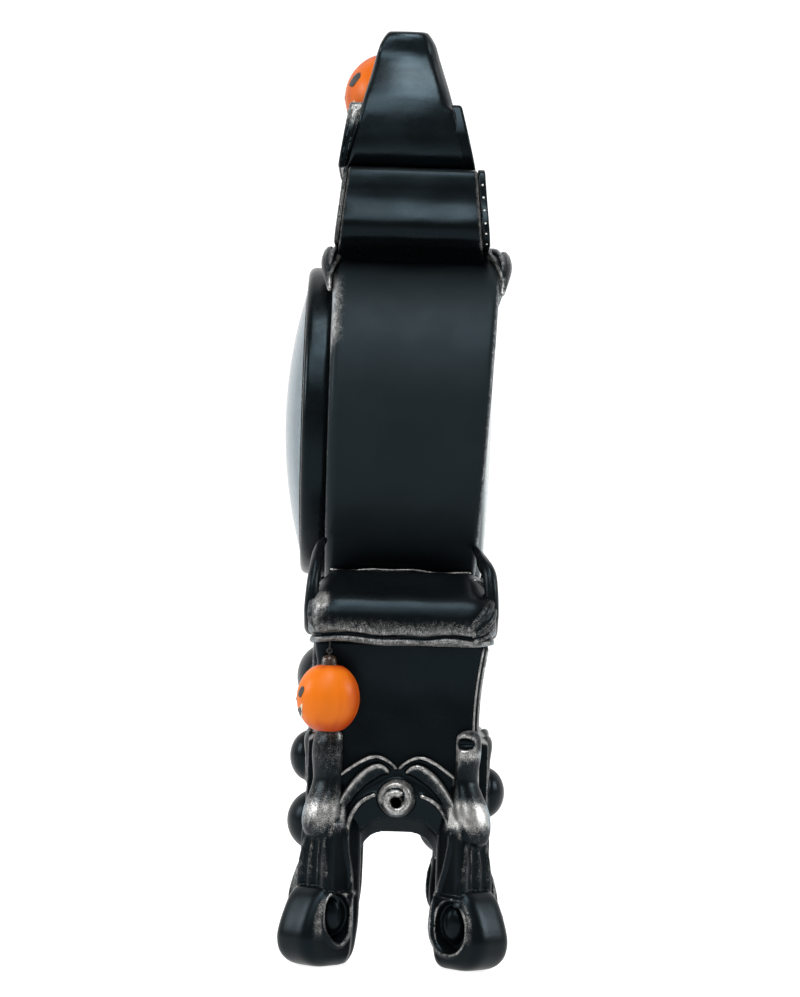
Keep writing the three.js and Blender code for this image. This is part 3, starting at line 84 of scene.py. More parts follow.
def ramp(low, high, value):
    """A smooth change from 0 where value is low to 1 where it is high."""
    share = np.clip((value - low) / (high - low), 0, 1)
    return share * share * (3 - 2 * share)


def hump(value, middle, half):
    """A soft bump that is 1 at middle and fades over half."""
    return np.exp(-((value - middle) / half) ** 2)


def run_length(path):
    """How far along a path each of its points lies."""
    return np.concatenate([[0], np.cumsum(np.linalg.norm(np.diff(path, axis=0), axis=1))])


def picked(path, along, wanted):
    """A path's columns at the wanted lengths along it."""
    return np.column_stack([np.interp(wanted, along, column) for column in path.T])


def spline(rows, count):
    """A smooth curve through rows, at count points evenly spaced along its first three columns."""
    rows = np.asarray(rows, float)
    ends = np.vstack([2 * rows[0] - rows[1], rows, 2 * rows[-1] - rows[-2]])
    share = np.linspace(0, 1, 24, endpoint=False)[:, None]
    runs = []
    for a, b, c, d in zip(ends, ends[1:], ends[2:], ends[3:]):
        bend = (2 * a - 5 * b + 4 * c - d) * share ** 2 + (3 * b - a - 3 * c + d) * share ** 3
        runs.append(b + 0.5 * ((c - a) * share + bend))
    fine = np.vstack(runs + [rows[-1:]])
    along = run_length(fine[:, :3])
    return picked(fine, along, np.linspace(0, along[-1], count))


def by_height(rows, count):
    """A smooth curve through rows that start with a height, at even heights."""
    return spline([(0, 0, *row) for row in rows], count)[:, 2:]


def ring_skin(rings, loop=False):
    """Rings of points, each of one count, as verts and faces of a skin with closed ends, or of a loop."""
    rings = np.asarray(rings, float)
    rows, count = rings.shape[:2]
    faces = []
    for i in range(rows if loop else rows - 1):
        low = i * count
        high = ((i + 1) % rows) * count
        for j in range(count):
            k = (j + 1) % count
            faces.append((low + j, low + k, high + k, high + j))
    if not loop:
        faces.append(tuple(range(count - 1, -1, -1)))
        faces.append(tuple(range((rows - 1) * count, rows * count)))
    return rings.reshape(-1, 3), faces


def inside_out(skin):
    """A skin with its faces turned the other way."""
    verts, faces = skin
    return verts, [tuple(reversed(face)) for face in faces]


def mirrored(skin, axis):
    """The mirror image of a skin across the plane through the middle, along axis 0 or 1."""
    flipped = skin[0].copy()
    flipped[:, axis] *= -1
    return inside_out((flipped, skin[1]))


def unit(rows):
    """Rows scaled to a length of one each."""
    return rows / np.maximum(np.linalg.norm(rows, axis=1), 1e-12)[:, None]


def tube(rows, normal, count, sides, ends=(0.8, 0.8), power=2.0):
    """A strand along rows of x, y, z, half width and half height, where the height stands along normal."""
    path = spline(rows, count)
    places = path[:, :3]
    tangent = unit(np.gradient(places, axis=0))
    up = np.broadcast_to(np.asarray(normal, float), places.shape)
    up = unit(up - np.sum(up * tangent, axis=1)[:, None] * tangent)
    across = np.cross(tangent, up)
    along = run_length(places)
    swell = np.ones(count)
    for end, far in zip(ends, (along, along[-1] - along)):
        near = np.clip(far / end, 0, 1)
        swell = np.minimum(swell, np.sqrt(np.maximum(1 - (1 - near) ** 2, 0.02)))
    cos, sin = np.cos(circle(sides)), np.sin(circle(sides))
    wide = np.sign(cos) * np.abs(cos) ** (2 / power)
    high = np.sign(sin) * np.abs(sin) ** (2 / power)
    width = (swell * path[:, 3])[:, None, None] * wide[None, :, None]
    height = (swell * path[:, 4])[:, None, None] * high[None, :, None]
    return ring_skin(places[:, None, :] + width * across[:, None, :] + height * up[:, None, :])


def egg(centre, radii, wide=28, high=18, axes=np.eye(3)):
    """An ellipsoid with its half sizes along axes."""
    turn = circle(wide)
    rings = []
    for i in range(1, high):
        polar = math.pi * i / high
        x, y = np.cos(turn) * math.sin(polar), np.sin(turn) * math.sin(polar)
        ring = np.column_stack([x, y, np.full(wide, -math.cos(polar))])
        rings.append(np.asarray(centre) + (ring * radii) @ axes)
    return ring_skin(rings)


def turned(profile, segments, middle=(0, 0, 0), closed=True):
    """A profile of radius and y, turned about a line along Y through middle."""
    turn = circle(segments)
    rings = [np.column_stack([r * np.cos(turn), np.full(segments, y), r * np.sin(turn)]) for r, y in profile]
    return ring_skin(np.stack(rings) + np.asarray(middle), closed)


def arc(centre, radius, start, end, count=9):
    """Points on an arc about centre, from one angle in degrees to another."""
    turn = np.radians(np.linspace(start, end, count))
    return [(centre[0] + radius * math.cos(t), centre[1] + radius * math.sin(t)) for t in turn]


def rounded(points, radius, steps):
    """A closed outline of points with its corners rounded to radius, or to radii given point by point."""
    points = np.asarray(points, float)
    radii = np.broadcast_to(radius, len(points))
    out = []
    for i, corner in enumerate(points):
        before = points[i - 1] - corner
        after = points[(i + 1) % len(points)] - corner
        reach = min(radii[i], 0.48 * np.linalg.norm(before), 0.48 * np.linalg.norm(after))
        start = corner + reach * before / np.linalg.norm(before)
        end = corner + reach * after / np.linalg.norm(after)
        for share in np.linspace(0, 1, steps):
            out.append((1 - share) ** 2 * start + 2 * share * (1 - share) * corner + share ** 2 * end)
    return np.array(out)


def resampled(outline, count):
    """A closed outline at count evenly spaced points."""
    ring = np.vstack([outline, outline[:1]])
    along = run_length(ring)
    return picked(ring, along, np.linspace(0, along[-1], count, endpoint=False))


def oblong(low, high, half, radius, steps, count, up):
    """A ring at a height, from low to high in X and half each way in Y, with rounded corners."""
    corners = [(high, half), (low, half), (low, -half), (high, -half)]
    ring = resampled(rounded(corners, radius, steps), count)
    return np.column_stack([ring, np.full(count, up)])


def inset(outline, depth):
    """A closed anticlockwise outline drawn in by depth."""
    ahead = unit(np.roll(outline, -1, axis=0) - np.roll(outline, 1, axis=0))
    return outline + depth * np.column_stack([-ahead[:, 1], ahead[:, 0]])


def slab(outline, front_at, back_at, edge, layers, crown=0.0):
    """An outline in X and Z with depth between a leaning front and back, rounded edges and crowned sides."""
    turn = np.linspace(0, math.pi / 2, 7)
    levels = [(edge * (1 - math.cos(t)), edge * (1 - math.sin(t))) for t in turn]
    rows = [(shift, drawn, 0) for shift, drawn in levels]
    rows += [(0, 0, i / layers) for i in range(1, layers)]
    rows += [(-shift, drawn, 1) for shift, drawn in reversed(levels)]
    rings = []
    for shift, drawn, share in rows:
        x, z = inset(outline, drawn).T
        y = (1 - share) * front_at(z) + share * back_at(z) + shift
        rings.append(np.column_stack([x + np.sign(x) * crown * (1 - (2 * share - 1) ** 2), y, z]))
    return ring_skin(rings)


# Meshes and casting

def mesh_from(name, skins, scale=1.0, shift=(0, 0, 0)):
    """One mesh of all the skins, scaled and then shifted."""
    verts, faces, count = [], [], 0
    for skin_verts, skin_faces in skins:
        verts.append(np.asarray(skin_verts) * scale + np.asarray(shift))
        faces += [tuple(i + count for i in face) for face in skin_faces]
        count += len(skin_verts)
    mesh = bpy.data.meshes.new(name)
    mesh.from_pydata(np.vstack(verts).tolist(), [], faces)
    mesh.update()
    return mesh


def linked(name, data):
    """A new object in the scene that holds data."""
    obj = bpy.data.objects.new(name, data)
    bpy.context.scene.collection.objects.link(obj)
    return obj


def read_back(obj):
    """The verts and faces of an object with its modifiers."""
    shaped = obj.evaluated_get(bpy.context.evaluated_depsgraph_get())
    mesh = shaped.to_mesh()
    verts = np.empty(3 * len(mesh.vertices))
    mesh.vertices.foreach_get("co", verts)
    faces = [tuple(face.vertices) for face in mesh.polygons]
    shaped.to_mesh_clear()
    return verts.reshape(-1, 3), faces


def neighbours(faces):
    """Every pair of points that share an edge."""
    pairs = set()
    for face in faces:
        for a, b in zip(face, face[1:] + face[:1]):
            pairs.add((a, b) if a < b else (b, a))
    return np.array(sorted(pairs))


def averaged(values, edges):
    """Each point's mean over its neighbours."""
    count = len(values)
    ends = np.concatenate([edges[:, 0], edges[:, 1]])
    others = np.concatenate([edges[:, 1], edges[:, 0]])
    share = np.maximum(np.bincount(ends, minlength=count), 1)
    sums = [np.bincount(ends, weights=column[others], minlength=count) for column in values.T]
    return np.column_stack([total / share for total in sums])


def welded(skins, cell, cuts):
    """Overlapping skins joined into one in cells of a size, less the cuts."""
    obj = linked("scratch", mesh_from("scratch", skins))
    cutters = [linked("scratch", mesh_from("scratch", [cut])) for cut in cuts]
    for cutter in cutters:
        hole = obj.modifiers.new("hole", "BOOLEAN")
        hole.operation = "DIFFERENCE"
        hole.solver = "EXACT"
        hole.object = cutter
    weld = obj.modifiers.new("weld", "REMESH")
    weld.mode = "VOXEL"
    weld.voxel_size = cell
    skin = read_back(obj)
    for old in [obj] + cutters:
        bpy.data.objects.remove(old)
    return skin


def cast(skins, cell=0.42, cuts=()):
    """Joins skins into one casting, less the cuts, and takes off its stair steps without shrinking it."""
    verts, faces = welded(skins, cell, ())
    if cuts:
        verts, faces = welded([(verts, faces)], cell, cuts)
    edges = neighbours(faces)
    for pull in 3 * (0.6, -0.62):
        verts = verts + pull * (averaged(verts, edges) - verts)
    return verts, faces


def normals_of(verts, faces):
    """The direction in which the skin faces at each point."""
    corners = np.array([(face[0], face[1], face[2], face[-1]) for face in faces])
    first, second, third, last = (verts[column] for column in corners.T)
    across = np.cross(third - first, last - second)
    total = np.zeros_like(verts)
    for column in corners.T:
        for axis in range(3):
            total[:, axis] += np.bincount(column, weights=across[:, axis], minlength=len(verts))
    return unit(total)


def uneven(skin, amount):
    """A skin with the slow swells of a hand-finished casting, amount millimetres high."""
    verts, faces = skin
    x, y, z = verts.T
    swell = np.sin(0.37 * y + 0.11 * z + 1.1) * np.sin(0.21 * z - 0.17 * x + 0.4)
    swell = swell + 0.6 * np.sin(0.29 * x + 0.43 * z + 2.3) * np.sin(0.31 * y + 0.9)
    return verts + (amount * swell)[:, None] * normals_of(verts, faces), faces


def raised(skin, rounds, reach, start=0.0):
    """Marks what stands out of its surroundings, smoothed in rounds, by more than start: 1 at reach past it.

    A negative reach marks hollows.
    """
    verts, faces = skin
    edges = neighbours(faces)
    flat = verts
    for _ in range(rounds):
        flat = flat + 0.8 * (averaged(flat, edges) - flat)
    height = np.sum((verts - flat) * normals_of(verts, faces), axis=1)
    return np.clip((height - start) / reach, 0, 1)


# Materials: each one is built from nodes

class Nodes:
    """A short way to add and link the nodes of one material."""

    def __init__(self, name):
        self.material = bpy.data.materials.new(name)
        self.material.use_nodes = True
        self.tree = self.material.node_tree
        self.shader = self.tree.nodes["Principled BSDF"]

    def add(self, kind, **settings):
        node = self.tree.nodes.new(kind)
        for key, value in settings.items():
            setattr(node, key, value)
        return node

    def put(self, socket, value):
        """Links an input to another node's output, or sets it to a plain value."""
        if isinstance(value, bpy.types.NodeSocket):
            self.tree.links.new(value, socket)
        else:
            socket.default_value = value

    def give(self, node, **values):
        """Puts values on a node's inputs, named with an underline for each space."""
        for key, value in values.items():
            self.put(node.inputs[key.replace("_", " ")], value)

    def set(self, **values):
        self.give(self.shader, **values)

    def noise(self, scale, detail=3.0, rough=0.55, stretch=None):
        place = self.add("ShaderNodeTexCoord").outputs["Object"]
        if stretch:
            mapping = self.add("ShaderNodeMapping")
            self.give(mapping, Vector=place, Scale=stretch)
            place = mapping.outputs["Vector"]
        node = self.add("ShaderNodeTexNoise")
        self.give(node, Vector=place, Scale=scale, Detail=detail, Roughness=rough)
        return node.outputs["Fac"]

    def math(self, operation, first, second):
        node = self.add("ShaderNodeMath", operation=operation)
        self.put(node.inputs[0], first)
        self.put(node.inputs[1], second)
        return node.outputs[0]

    def between(self, value, low, high, to_low=0.0, to_high=1.0):
        """A smooth change from to_low where value is low to to_high where it is high."""
        node = self.add("ShaderNodeMapRange", interpolation_type="SMOOTHSTEP")
        self.give(node, Value=value, From_Min=low, From_Max=high, To_Min=to_low, To_Max=to_high)
        return node.outputs["Result"]

    def mixed(self, share, first, second):
        node = self.add("ShaderNodeMix", data_type="RGBA")
        self.give(node, Factor=share)
        sockets = [s for s in node.inputs if s.type == "RGBA"]
        self.put(sockets[0], first)
        self.put(sockets[1], second)
        return [s for s in node.outputs if s.type == "RGBA"][0]

    # Reads the attribute of wear and painted light: rubbed silver on the resin, painted shade on the
    # lanterns.
    def wear(self):
        return self.add("ShaderNodeAttribute", attribute_name="wear").outputs["Fac"]

    def bump(self, height, strength, distance):
        node = self.add("ShaderNodeBump")
        self.give(node, Height=height, Strength=strength, Distance=distance)
        self.set(Normal=node.outputs["Normal"])


WHITE = (1, 1, 1, 1)
BLACK = (0.0016, 0.0022, 0.0025, 1)
SHEEN_TINT = (0.56, 0.83, 1.0, 1)
SILVER = (0.58, 0.578, 0.565, 1)
SILVER_DARK = (0.08, 0.079, 0.075, 1)
ORANGE = (0.56, 0.125, 0.004, 1)
# The orange of the lanterns' painted shade.
ORANGE_SHADE = (0.32, 0.034, 0.003, 1)
GLASS_TINT = (0.45, 0.55, 0.60, 1)


def shaded(colour, share):
    """A colour made darker or lighter by a share."""
    return tuple(share * c for c in colour[:3]) + (1,)


def resin(name, gloss=0.12, roughness=0.3, tone=1.0):
    """Black cast resin with silver rubbed over what its attribute marks, in one place as a painted highlight;
    tone lightens the black as painted light.
    """
    n = Nodes(name)
    fine = n.noise(4200.0, 3.0, 0.6)
    patches = n.noise(700.0, 4.0, 0.6, (1, 1, 0.75))
    speckle = n.math("ADD", n.math("MULTIPLY", fine, 0.5), n.math("MULTIPLY", patches, 0.2))
    rubbed = n.between(n.math("ADD", n.wear(), n.math("SUBTRACT", speckle, 0.35)), 0.1, 0.44)
    black = n.mixed(n.noise(60.0, 2.0), shaded(BLACK, 0.9 * tone), shaded(BLACK, 1.4 * tone))
    silver = n.mixed(n.between(speckle, 0.24, 0.46), SILVER_DARK, SILVER)
    smear = n.between(n.noise(90.0, 4.0), 0.3, 0.7, roughness - 0.04, roughness + 0.05)
    n.set(Base_Color=n.mixed(rubbed, black, silver), Metallic=n.math("MULTIPLY", rubbed, 0.85),
          Roughness=n.math("ADD", smear, n.math("MULTIPLY", rubbed, 0.03)),
          Specular_IOR_Level=gloss, Specular_Tint=SHEEN_TINT)
    n.bump(n.math("ADD", n.noise(420.0), n.math("MULTIPLY", rubbed, 0.8)), 0.24, 0.00013)
    return n.material


def plain(name, colour, roughness, metallic=0.0, grain=700.0, depth=0.1, shade=0.75, gloss=0.5, tint=WHITE):
    """A painted, plated or moulded surface with a fine grain and slight changes of tone."""
    n = Nodes(name)
    texture = n.noise(grain)
    n.set(Base_Color=n.mixed(n.noise(140.0), shaded(colour, shade), colour), Metallic=metallic,
          Roughness=n.between(texture, 0.3, 0.7, roughness - 0.04, roughness + 0.06),
          Specular_IOR_Level=gloss, Specular_Tint=tint)
    n.bump(texture, depth, 0.0001)
    return n.material


def pumpkin_paint():
    """Hand-painted orange, deeper where its attribute marks painted shade, and in the ribs' grooves."""
    n = Nodes("orange_paint_fine")
    brush = n.noise(260.0, 4.0, 0.6, (1, 1, 0.35))
    streaks = n.math("MULTIPLY", n.math("SUBTRACT", brush, 0.5), 0.35)
    # Painted shade from the attribute, with brush streaks, deepens the orange.
    deep = n.between(n.math("ADD", n.wear(), streaks), 0.05, 0.85)
    n.set(Base_Color=n.mixed(deep, ORANGE, ORANGE_SHADE), Specular_IOR_Level=0.14,
          Roughness=n.between(brush, 0.3, 0.7, 0.34, 0.46))
    n.bump(brush, 0.12, 0.0002)
    return n.material


def tinted_glass():
    """Clear glass whose tint grows with the length of glass looked through."""
    n = Nodes("lens_glass")
    haze = n.noise(40.0, 2.0)
    n.set(Base_Color=n.mixed(haze, (0.76, 0.79, 0.80, 1), (0.79, 0.82, 0.83, 1)), IOR=1.1,
          Roughness=n.between(haze, 0.3, 0.7, 0.02, 0.04), Transmission_Weight=1.0)
    depth = n.add("ShaderNodeVolumeAbsorption")
    n.give(depth, Color=GLASS_TINT, Density=230.0)
    n.give(n.tree.nodes["Material Output"], Volume=depth.outputs["Volume"])
    return n.material


RESIN = resin("black_resin_fine")
# The drum's copy of the resin has less gloss and a black painted lighter, as painted light.
RESIN_SATIN_LIT = resin("black_resin_satin_lit", 0.045, 0.34, 5.5)
RESIN_GLOSS = resin("black_resin_gloss", 0.24, 0.26)
PUMPKIN = pumpkin_paint()
STEM_BROWN = plain("stem_brown", (0.030, 0.014, 0.006, 1), 0.3, grain=500.0)
BEAD_WHITE = plain("bead_white", (0.62, 0.61, 0.58, 1), 0.4)
WIRE_DARK = plain("wire_dark", (0.012, 0.011, 0.010, 1), 0.4, metallic=0.3)
FACE_BLACK = plain("face_black", (0.004, 0.004, 0.004, 1), 0.5)
FACE_CREAM = plain("face_cream", (0.62, 0.55, 0.42, 1), 0.5)
BEZEL_BLACK = plain("bezel_black", (0.0026, 0.0036, 0.004, 1), 0.26, grain=300.0, depth=0.02, gloss=0.12,
                    tint=SHEEN_TINT)
GLASS = tinted_glass()
COVER_PLASTIC = plain("cover_plastic", (0.42, 0.47, 0.47, 1), 0.3, grain=400.0, depth=0.05, shade=0.9)
PAPER = plain("dial_paper_fine", (0.78, 0.72, 0.58, 1), 0.65, grain=900.0)
INK = plain("dial_ink", (0.008, 0.008, 0.009, 1), 0.5)

SLOT_LOOKS = {
    "black_resin": RESIN,
    "orange_paint": PUMPKIN,
    "black_metal": BEZEL_BLACK,
    "glass": GLASS,
    "clear_plastic": COVER_PLASTIC,
    "dial_paper": PAPER,
    "steel": plain("steel_wire", (0.42, 0.42, 0.44, 1), 0.3, metallic=1.0),
    "brass": plain("brass_fine", (0.55, 0.38, 0.13, 1), 0.32, metallic=1.0),
    "case_plastic": plain("case_plastic_fine", (0.02, 0.021, 0.023, 1), 0.55, grain=1200.0, depth=0.2),
    "wheel_plastic": plain("wheel_plastic_fine", (0.72, 0.68, 0.58, 1), 0.45, grain=900.0),
    "rubber": plain("rubber_fine", (0.012, 0.012, 0.012, 1), 0.85, grain=1500.0, depth=0.3),
    "copper": plain("copper_winding", (0.55, 0.20, 0.08, 1), 0.38, metallic=1.0, grain=2500.0, depth=0.5),
    "board": plain("board_green", (0.02, 0.12, 0.05, 1), 0.5, grain=600.0),
    "battery_wrap": plain("battery_wrap_fine", (0.28, 0.30, 0.33, 1), 0.35, metallic=0.4),
}


# Pieces

def piece(name, skins, look, nodes=(), body="case", wear=None, smooth=True):
    """Adds a shaped piece on a body, standing for CAD nodes; wear and painted light is one value or one a
    point.
    """
    mesh = mesh_from(name, skins, MM, (0, MID_Y * MM, 0))
    obj = linked(name, mesh)
    mesh.materials.append(look)
    mesh.polygons.foreach_set("use_smooth", [smooth] * len(mesh.polygons))
    if wear is not None:
        layer = mesh.attributes.new("wear", "FLOAT", "POINT")
        layer.data.foreach_set("value", np.full(len(mesh.vertices), wear, float))
    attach(obj, body)
    if nodes:
        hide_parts(*nodes)


def casting(node, skin, wear, look=RESIN):
    """A black resin casting that stands for one CAD node."""
    piece(f"{node}_casting", [skin], look, [node], wear=wear)


def pair(node, skin, wear):
    """A casting at the right and its mirror image at the left."""
    casting(f"{node}_right", skin, wear)
    casting(f"{node}_left", mirrored(skin, 0), wear)


# Legs, drawn in the corner's own directions: out along the diagonal, across it, and up

FOOT_HALF = 8.0
SHAFT_HALF = 7.0
RIDGE = 0.7
WHORL_DEPTH = 4.8
FOOT_OUTLINE = [(8.6, 24.6), (10.9, 22.3), (13.3, 17.8), (15.2, 13.0), (16.0, 8.9), (15.0, 4.6), (12.2, 1.6),
                (8.0, 0.15), (2.0, 0.05), (-2.2, 0.4), (-4.4, 2.6), (-5.3, 6.5), (-5.5, 12), (-5.5, 24.6)]

# A leg's post has height, size and inner reach, and its strap has out, height, half width and half depth.
# Then come its whorl, its raised line seen from the side, the sides with a curl hollow and its silver.
FRONT_LEG = {
    "post": [(0.4, 0.62, 5.2), (2, 0.76, 6.4), (5, 0.88, 7.4), (11, 0.96, 8.1), (18, 1, 8.4), (40, 1, 8.4),
             (46, 0.86, 7.2), (52, 0.66, 5.5), (57, 0.5, 4.2)],
    "strap": [(0.4, 74.0, 3.0, 1.6), (1.2, 72.4, 4.8, 2.8), (1.9, 69.5, 5.3, 3.5), (2.1, 65.5, 5.4, 3.6),
              (1.8, 61.5, 5.3, 3.4), (1.7, 57.8, 5.3, 3.2), (2.4, 54, 5.6, 3.5), (3.4, 50.4, 6.1, 4.1),
              (4.2, 47, 6.4, 4.4), (4.9, 43.8, 6.0, 4.1), (5.2, 41, 4.6, 3.0), (5.3, 39.2, 2.4, 1.4)],
    "whorl": (3.4, 15.3, 6.3, 8.6),
    "line": [(-15.1, 43), (-15.3, 40), (-14.9, 35), (-13.9, 30), (-13.4, 25), (-13.2, 19), (-13.2, 14),
             (-13.9, 9.8), (-15.4, 7.5), (-17.3, 7.1), (-19.4, 8.9), (-21.1, 12), (-21.7, 16), (-21.4, 20),
             (-20.0, 22.6), (-18.0, 21.8), (-17.0, 19.8)],
    "curls": (),
    "silver": (0.0, 0.24, 0.12),
}
BACK_LEG = {
    "post": [(0.4, 0.62, 4.4), (2, 0.76, 5.2), (5, 0.88, 6.0), (9, 0.94, 6.6), (13, 0.98, 6.6), (18, 1, 6.0),
             (23, 1, 5.4), (40, 1, 5.2), (46, 0.86, 4.6), (52, 0.66, 3.9), (57, 0.5, 3.4)],
    "strap": [(0.6, 74.2, 2.6, 1.4), (1.3, 73, 4.0, 2.6), (1.9, 70.6, 4.5, 3.1), (1.9, 66, 4.4, 3.0),
              (1.4, 61.5, 4.2, 2.8), (1.3, 58, 4.3, 2.8), (2.1, 54.5, 5.0, 3.4), (3.4, 50.5, 5.8, 4.1),
              (4.8, 46.6, 6.0, 4.4), (6.2, 43, 5.2, 3.8), (7.2, 40.2, 3.8, 2.6), (7.8, 38.4, 2.0, 1.3)],
    "whorl": (3.6, 13.6, 7.4, 8.8),
    "line": [(-17.0, 43), (-17.0, 39.5), (-16.5, 36), (-15.6, 31), (-14.4, 26.7), (-12.9, 22), (-11.9, 18.6),
             (-11.6, 12.4), (-12.6, 8.2), (-14.6, 5.6), (-17.4, 4.7), (-20.4, 5.8), (-22.4, 9), (-22.9, 13),
             (-22.3, 17), (-20.6, 20.2), (-18.4, 20.4)],
    "curls": (-1, 1),
    "silver": (0.24, 0.55, 0.09),
}


def at_corner(skin):
    """Turns out, across, up into the corner at +X and -Y."""
    out, across, up = skin[0].T
    x = LEG_X + (out + across) * ROOT_HALF
    y = -LEG_Y + (across - out) * ROOT_HALF
    return np.column_stack([x, y, up]), skin[1]


def foot_roll():
    """The rolled foot: a bell-shaped profile across the corner, crowned towards its ends."""
    outline = resampled(spline(FOOT_OUTLINE, 90), 120)[::-1]
    rings = []
    for share in np.sin(np.linspace(-math.pi / 2, math.pi / 2, 31)):
        out, up = inset(outline, 2.6 * abs(share) ** 5).T
        rings.append(np.column_stack([out, np.full(len(out), FOOT_HALF * share), np.maximum(up, 0.0)]))
    return inside_out(ring_skin(rings))


def leg_shaft(style):
    """The post, square across the corner, that draws in behind the knee."""
    rings = []
    for up, size, inner in by_height(style["post"], 60):
        rings.append(oblong(-inner, 6.3 * size, SHAFT_HALF * size, (1.4, 2.6, 2.6, 1.4), 6, 56, up))
    return ring_skin(rings)


def flank_line(style, side):
    """The raised line down the leg's flank, under the whorl and up round it."""
    rows = []
    for y, z in style["line"]:
        across = SHAFT_HALF + (FOOT_HALF - SHAFT_HALF) * ramp(26, 18, z)
        out = across - (y + LEG_Y) / ROOT_HALF
        rows.append((out, side * (across - 0.05), z, RIDGE, RIDGE))
    return tube(rows, BACK, 120, 8)


def flutes():
    """Tapered ribs down the front of the shaft."""
    made = []
    for across, wide in ((5.5, 1.5), (2.7, 0.45), (-1.2, 1.3), (-5.5, 1.5)):
        rows = [(6.3, 0.75 * across + 0.5, 40, 0.5 * wide, 0.7), (6.5, 0.9 * across, 33, wide, 1.0),
                (6.6, across, 25, 1.15 * wide, 1.0), (6.6, across, 22, wide, 0.6)]
        made.append(tube(rows, OUT, 30, 10))
    return made


def knee_strap(style):
    """A strap on the corner, rounded at its top, drawn in below and swelling into a paw."""
    rows = [(out, 0, up, wide, deep) for out, up, wide, deep in style["strap"]]
    return tube(rows, OUT, 96, 26, (1.2, 1.6), 2.3)


def curl_hollow(side):
    """The hollow under the rolled top of a strap, on a side that faces along the case."""
    facing = (ROOT_HALF, side * ROOT_HALF, 0)
    sideways = (-ROOT_HALF, side * ROOT_HALF, 0)
    return egg((3.7, side * 3.6, 70.4), (2.7, 4.5, 2.0), axes=np.array((facing, sideways, UP), float))


def whorl_away(style, out, up):
    """How far a place on the flank lies from the whorl's middle, as a share of its size."""
    middle_out, middle_up, half_out, half_up = style["whorl"]
    return np.hypot((out - middle_out) / half_out, (up - middle_up) / half_up)


def whorl_floor(style, out, up):
    """Half the leg's width left where the whorl is hollowed, over the flank."""
    hollow = 1 - ramp(0.78, 1.0, whorl_away(style, out, up))
    upper = 1 - ramp(22.0, 26.0, up)
    return FOOT_HALF + 2 - (WHORL_DEPTH + 2) * hollow * upper


def leg_skin(style):
    """The joined leg with its whorls hollowed, then the raised lines and the whorls' cores on it."""
    skins = [foot_roll(), leg_shaft(style), knee_strap(style)] + flutes()
    verts, faces = cast(skins, cuts=[curl_hollow(side) for side in style["curls"]])
    out, across, up = verts.T
    across = np.sign(across) * np.minimum(np.abs(across), whorl_floor(style, out, up))
    skins = [(np.column_stack([out, across, up]), faces)]
    middle_out, middle_up = style["whorl"][:2]
    for side in (-1, 1):
        skins.append(flank_line(style, side))
        skins.append(egg((middle_out - 1.7, side * 3.6, middle_up + 0.8), (4.6, 3.6, 6.0)))
    return cast(skins, 0.4)


def leg_rubbing(style, skin):
    """Silver on the knee, the flutes and the raised line, and in a strip beside the whorl."""
    x, y, z = skin[0].T
    out = ((x - LEG_X) - (y + LEG_Y)) * ROOT_HALF
    across = np.abs((x - LEG_X) + (y + LEG_Y)) * ROOT_HALF
    sharp = raised(skin, 6, 0.16, 0.03)
    hollow = raised(skin, 10, -0.3)
    away = whorl_away(style, out, z)
    flank = ramp(5.0, 6.5, across)
    line = sharp * hump(away, 1.04, 0.14) * flank
    strip = ramp(1.02, 1.12, away) * ramp(14.6, 11.5, out) * ramp(4, 7, out)
    strip = strip * ramp(6.6, 7.6, across) * ramp(7, 12, z) * ramp(23.5, 20, z)
    inner = sharp * ramp(0, -3, out) * flank
    strap = ramp(38.5, 42.5, z) * ramp(-2.5, 0.5, out) * ramp(8.2, 6.4, across)
    tongue, paw, coat = style["silver"]
    crown = tongue * hump(z, 66.8, 1.6) + paw * hump(z, 48.2, 3.2)
    neck = hump(z, 58.5, 4.0)
    knee = strap * np.clip(coat + crown - 0.06 * neck + 0.24 * sharp - 0.7 * hollow, 0, 1)
    flute = ramp(26, 29, z) * ramp(42, 38, z) * (0.16 * sharp + 0.07 * ramp(6.3, 6.9, out))
    upper = np.maximum(np.maximum(knee, flute), 0.52 * inner)
    lower = np.maximum(np.maximum(0.36 * line, 0.2 * strip), 0.42 * inner)
    low = ramp(27, 24.5, z)
    return np.clip((1 - low) * upper + low * lower, 0, 1)


for place, style in (("front", FRONT_LEG), ("back", BACK_LEG)):
    leg = at_corner(leg_skin(style))
    leg_wear = leg_rubbing(style, leg)
    pair(f"leg_{place}", leg if place == "front" else mirrored(leg, 1), leg_wear)


# Side aprons: an arch with a cove, two leaves and a snail rosette, drawn as seen from the side

ARCH = [(11.3, 33), (10.5, 36.6), (8.7, 39.5), (6, 41.2), (3, 41.7), (0, 41.8)]
RIDGE_LINE = [(15.1, 39), (15.2, 42), (14.2, 46.5), (12.2, 50), (9.8, 52.2), (6.5, 53.8), (3, 54.4)]
OUTER_LINE = [(0.2, 61.6), (2.6, 63.8), (5.6, 65.3), (8.6, 65.2), (12, 63.6), (15, 61.6), (18, 59.4)]
BRIGHT_LINE = [(2.4, 61.0), (4.4, 62.8), (6.8, 63.2), (9.8, 61.8), (12.8, 59.2), (15.4, 55.8), (17.8, 52),
               (20.6, 48)]
LOW_LINE = [(2.8, 60.2), (4.6, 60), (7, 58.4), (10.4, 55.8), (13.4, 52.4), (15.8, 48.4), (17.4, 44.4),
            (19, 40.6)]
BACK_STRETCH = (1.11, 1)
APRON_SUNK = -6.4
COVE = ((0, 6.0), (0.34, 2.3), (0.4, 1.8), (0.6, 1.5), (0.8, 1.0), (1.0, 0.0))
BLADE = [(-0.02, -4.0), (-0.02, 0.3), (0.05, 0.85), (0.14, 1.0), (0.24, 0.82), (0.4, 0.5), (0.6, 0.4),
         (0.8, 0.36), (0.92, 0.26), (1.02, -0.4), (1.02, -4.0)]
ROSETTE_Z = 52.8
ROSETTE_RADIUS = 6.0
EYE_Y = -0.1
EYE_Z = ROSETTE_Z - 1.4


def at_side(line, out):
    """Points of Y and Z set out from the side face."""
    return np.column_stack([np.full(len(line), SIDE_FACE + out), line])


